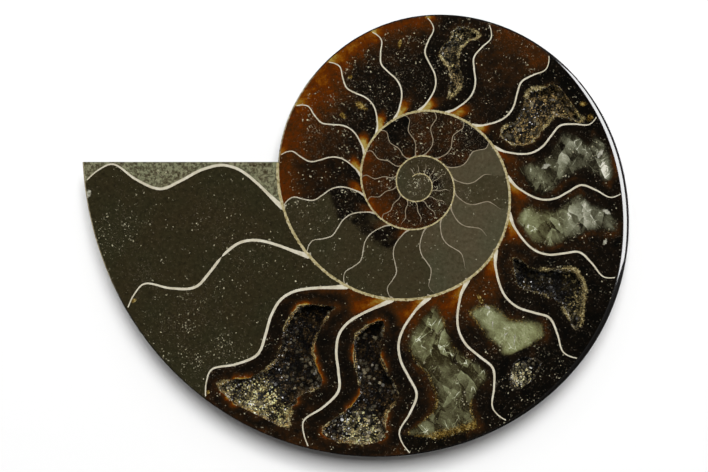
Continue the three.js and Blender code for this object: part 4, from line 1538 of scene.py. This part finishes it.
def rim_crystals(name, rings):
    """Vertices and tints of the long pale crystals that line a hollow's edge."""
    around = np.linalg.norm(rings[0] - np.roll(rings[0], -1, axis=0), axis=1).sum()
    count = int(RIM_DENSITY * around)
    points, normals = scatter(ring_triangles(rings[:RIM_RINGS]), count)
    crust = CRUSTS[name]
    tufts = np.maximum(patchy(points[:, :2], *TUFT_PATCHES), near_heap(points, crust["heaps"]))
    kept = tufts + LEAST_TUFT > rng.random(count)
    points, normals, grown = points[kept], normals[kept], TUFT_GROWTH + tufts[kept]
    count = len(points)
    length = grown * spread(*RIM_LENGTHS, count)
    vertices = grow(points, normals, spread(*RIM_SIZES, count), length)
    bright = (RIM_TINT + RIM_GAIN * grown) * np.exp(RIM_VARIETY * rng.standard_normal(count))
    return vertices, plain_tint(crust["rim"]) * bright[:, None]


def crystal_map(vertices):
    """Place of every vertex on a crust's flat map: the crust seen from above, with each crystal drawn in."""
    plan = vertices[..., :2]
    middle = plan.mean(axis=1, keepdims=True)
    spots = (middle + CRYSTAL_DRAW_IN * (plan - middle)).reshape(-1, 2)
    return (spots - spots.min(0)) / np.ptp(spots, axis=0)


def make_crust(name, rings, material):
    """Druzy crystals on the wall and floor of a hollow."""
    sets = [floor_crystals(name, rings), rim_crystals(name, rings)]
    vertices, tint = (np.vstack(made) for made in zip(*sets))
    tint = np.clip(tint, *TINT_RANGE)
    count, corners = vertices.shape[:2]
    polygons = [tuple(i * corners + k for k in face) for i in range(count) for face in CRYSTAL_FACES]
    crust = make_object(name.replace("crystal_crust", "druzy"), vertices.reshape(-1, 3), polygons, [material])
    attribute = crust.data.attributes.new("tint", "FLOAT_COLOR", "POINT")
    rgba = np.column_stack([tint, np.ones(count)])
    attribute.data.foreach_set("color", np.repeat(rgba, corners, axis=0).astype(np.float32).ravel())
    set_map(crust, crystal_map(vertices)[corner_list(polygons)])
    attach(crust, "root")
    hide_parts(name)


# Stage, in metres. Soft boxes: azimuth from +X towards +Y, elevation, distance, width, height and power

CAMERA_LENS = 100.0
CAMERA_SENSOR = 36.0
CAMERA_CLIP = 0.01
PHOTO_WIDTH_MM = 177.0
PHOTO_CENTRE = (-0.55, -0.05)
FLOOR_HALF_MM, FLOOR_DROP_MM = 4000.0, 0.1
FLOOR_WHITE = 0.6
SKY_STRENGTH = 0.42
SKY_LEAN = 0.5
SKY_STOPS = [(0.0, 0.16), (0.66, 0.16), (0.8, 0.9), (0.9, 1.0), (0.975, 0.006)]
LIGHTS = {
    "light_key": (83, 75, 1.5, 0.46, 0.46, 34.5),
    "light_top": (100, 62, 1.3, 1.0, 0.4, 2),
    "light_right": (16, 38, 1.1, 0.86, 0.36, 18.6),
}


def make_camera():
    camera = add_object("camera", bpy.data.cameras.new("camera"))
    camera.data.lens = CAMERA_LENS
    camera.data.sensor_width = CAMERA_SENSOR
    camera.data.clip_start = CAMERA_CLIP
    distance = PHOTO_WIDTH_MM * CAMERA_LENS / CAMERA_SENSOR + THICKNESS
    camera.location = Vector((*PHOTO_CENTRE, distance)) * MM
    bpy.context.scene.camera = camera


def make_floor():
    signs = ((-1, -1), (1, -1), (1, 1), (-1, 1))
    corners = [(x * FLOOR_HALF_MM, y * FLOOR_HALF_MM, -FLOOR_DROP_MM) for x, y in signs]
    paper = Shade("floor_paper", Roughness=0.9, Specular_IOR_Level=0.1)
    white = paper.painted((FLOOR_WHITE, FLOOR_WHITE, FLOOR_WHITE, 1))
    floor = make_object("floor", corners, [(0, 1, 2, 3)], [white])


def add_light(name, azimuth, elevation, distance, width, height, power):
    """A soft box that faces the object and isn't seen itself."""
    data = bpy.data.lights.new(name, "AREA")
    data.shape = "RECTANGLE"
    data.size, data.size_y = width, height
    data.energy = power
    light = add_object(name, data)
    turn, tilt = math.radians(azimuth), math.radians(elevation)
    back = Vector((math.cos(turn) * math.cos(tilt), math.sin(turn) * math.cos(tilt), math.sin(tilt)))
    light.location = back * distance
    light.rotation_mode = "QUATERNION"
    light.rotation_quaternion = back.to_track_quat("Z", "Y")
    light.visible_camera = False
    return light


def make_world():
    """Soft light all round, a little stronger from +Y, with a dark zenith for the face to mirror."""
    world = bpy.data.worlds.new("studio")
    world.use_nodes = True
    nodes = Nodes(world.node_tree)
    where = nodes.node("TexCoord", {}).outputs["Generated"]
    axes = nodes.node("SeparateXYZ", {0: where}).outputs
    sky = nodes.ramp(axes["Z"], [(height, (share, share, share, 1)) for height, share in SKY_STOPS])
    strength = nodes.math("MULTIPLY_ADD", axes["Y"], SKY_LEAN * SKY_STRENGTH, SKY_STRENGTH)
    background = world.node_tree.nodes["Background"]
    nodes.feed(background.inputs["Color"], sky)
    nodes.feed(background.inputs["Strength"], strength)
    bpy.context.scene.world = world


def make_lights():
    make_world()
    lights = {name: add_light(name, *values) for name, values in LIGHTS.items()}
    lights["light_key"].visible_glossy = False
    lights["light_right"].visible_diffuse = False
    bpy.context.scene.view_settings.view_transform = "Standard"


make_camera()
make_floor()
make_lights()
linings = make_stone()
druzy = crystal_material()
for hollow_name, lining in linings.items():
    make_crust(hollow_name, lining, druzy)
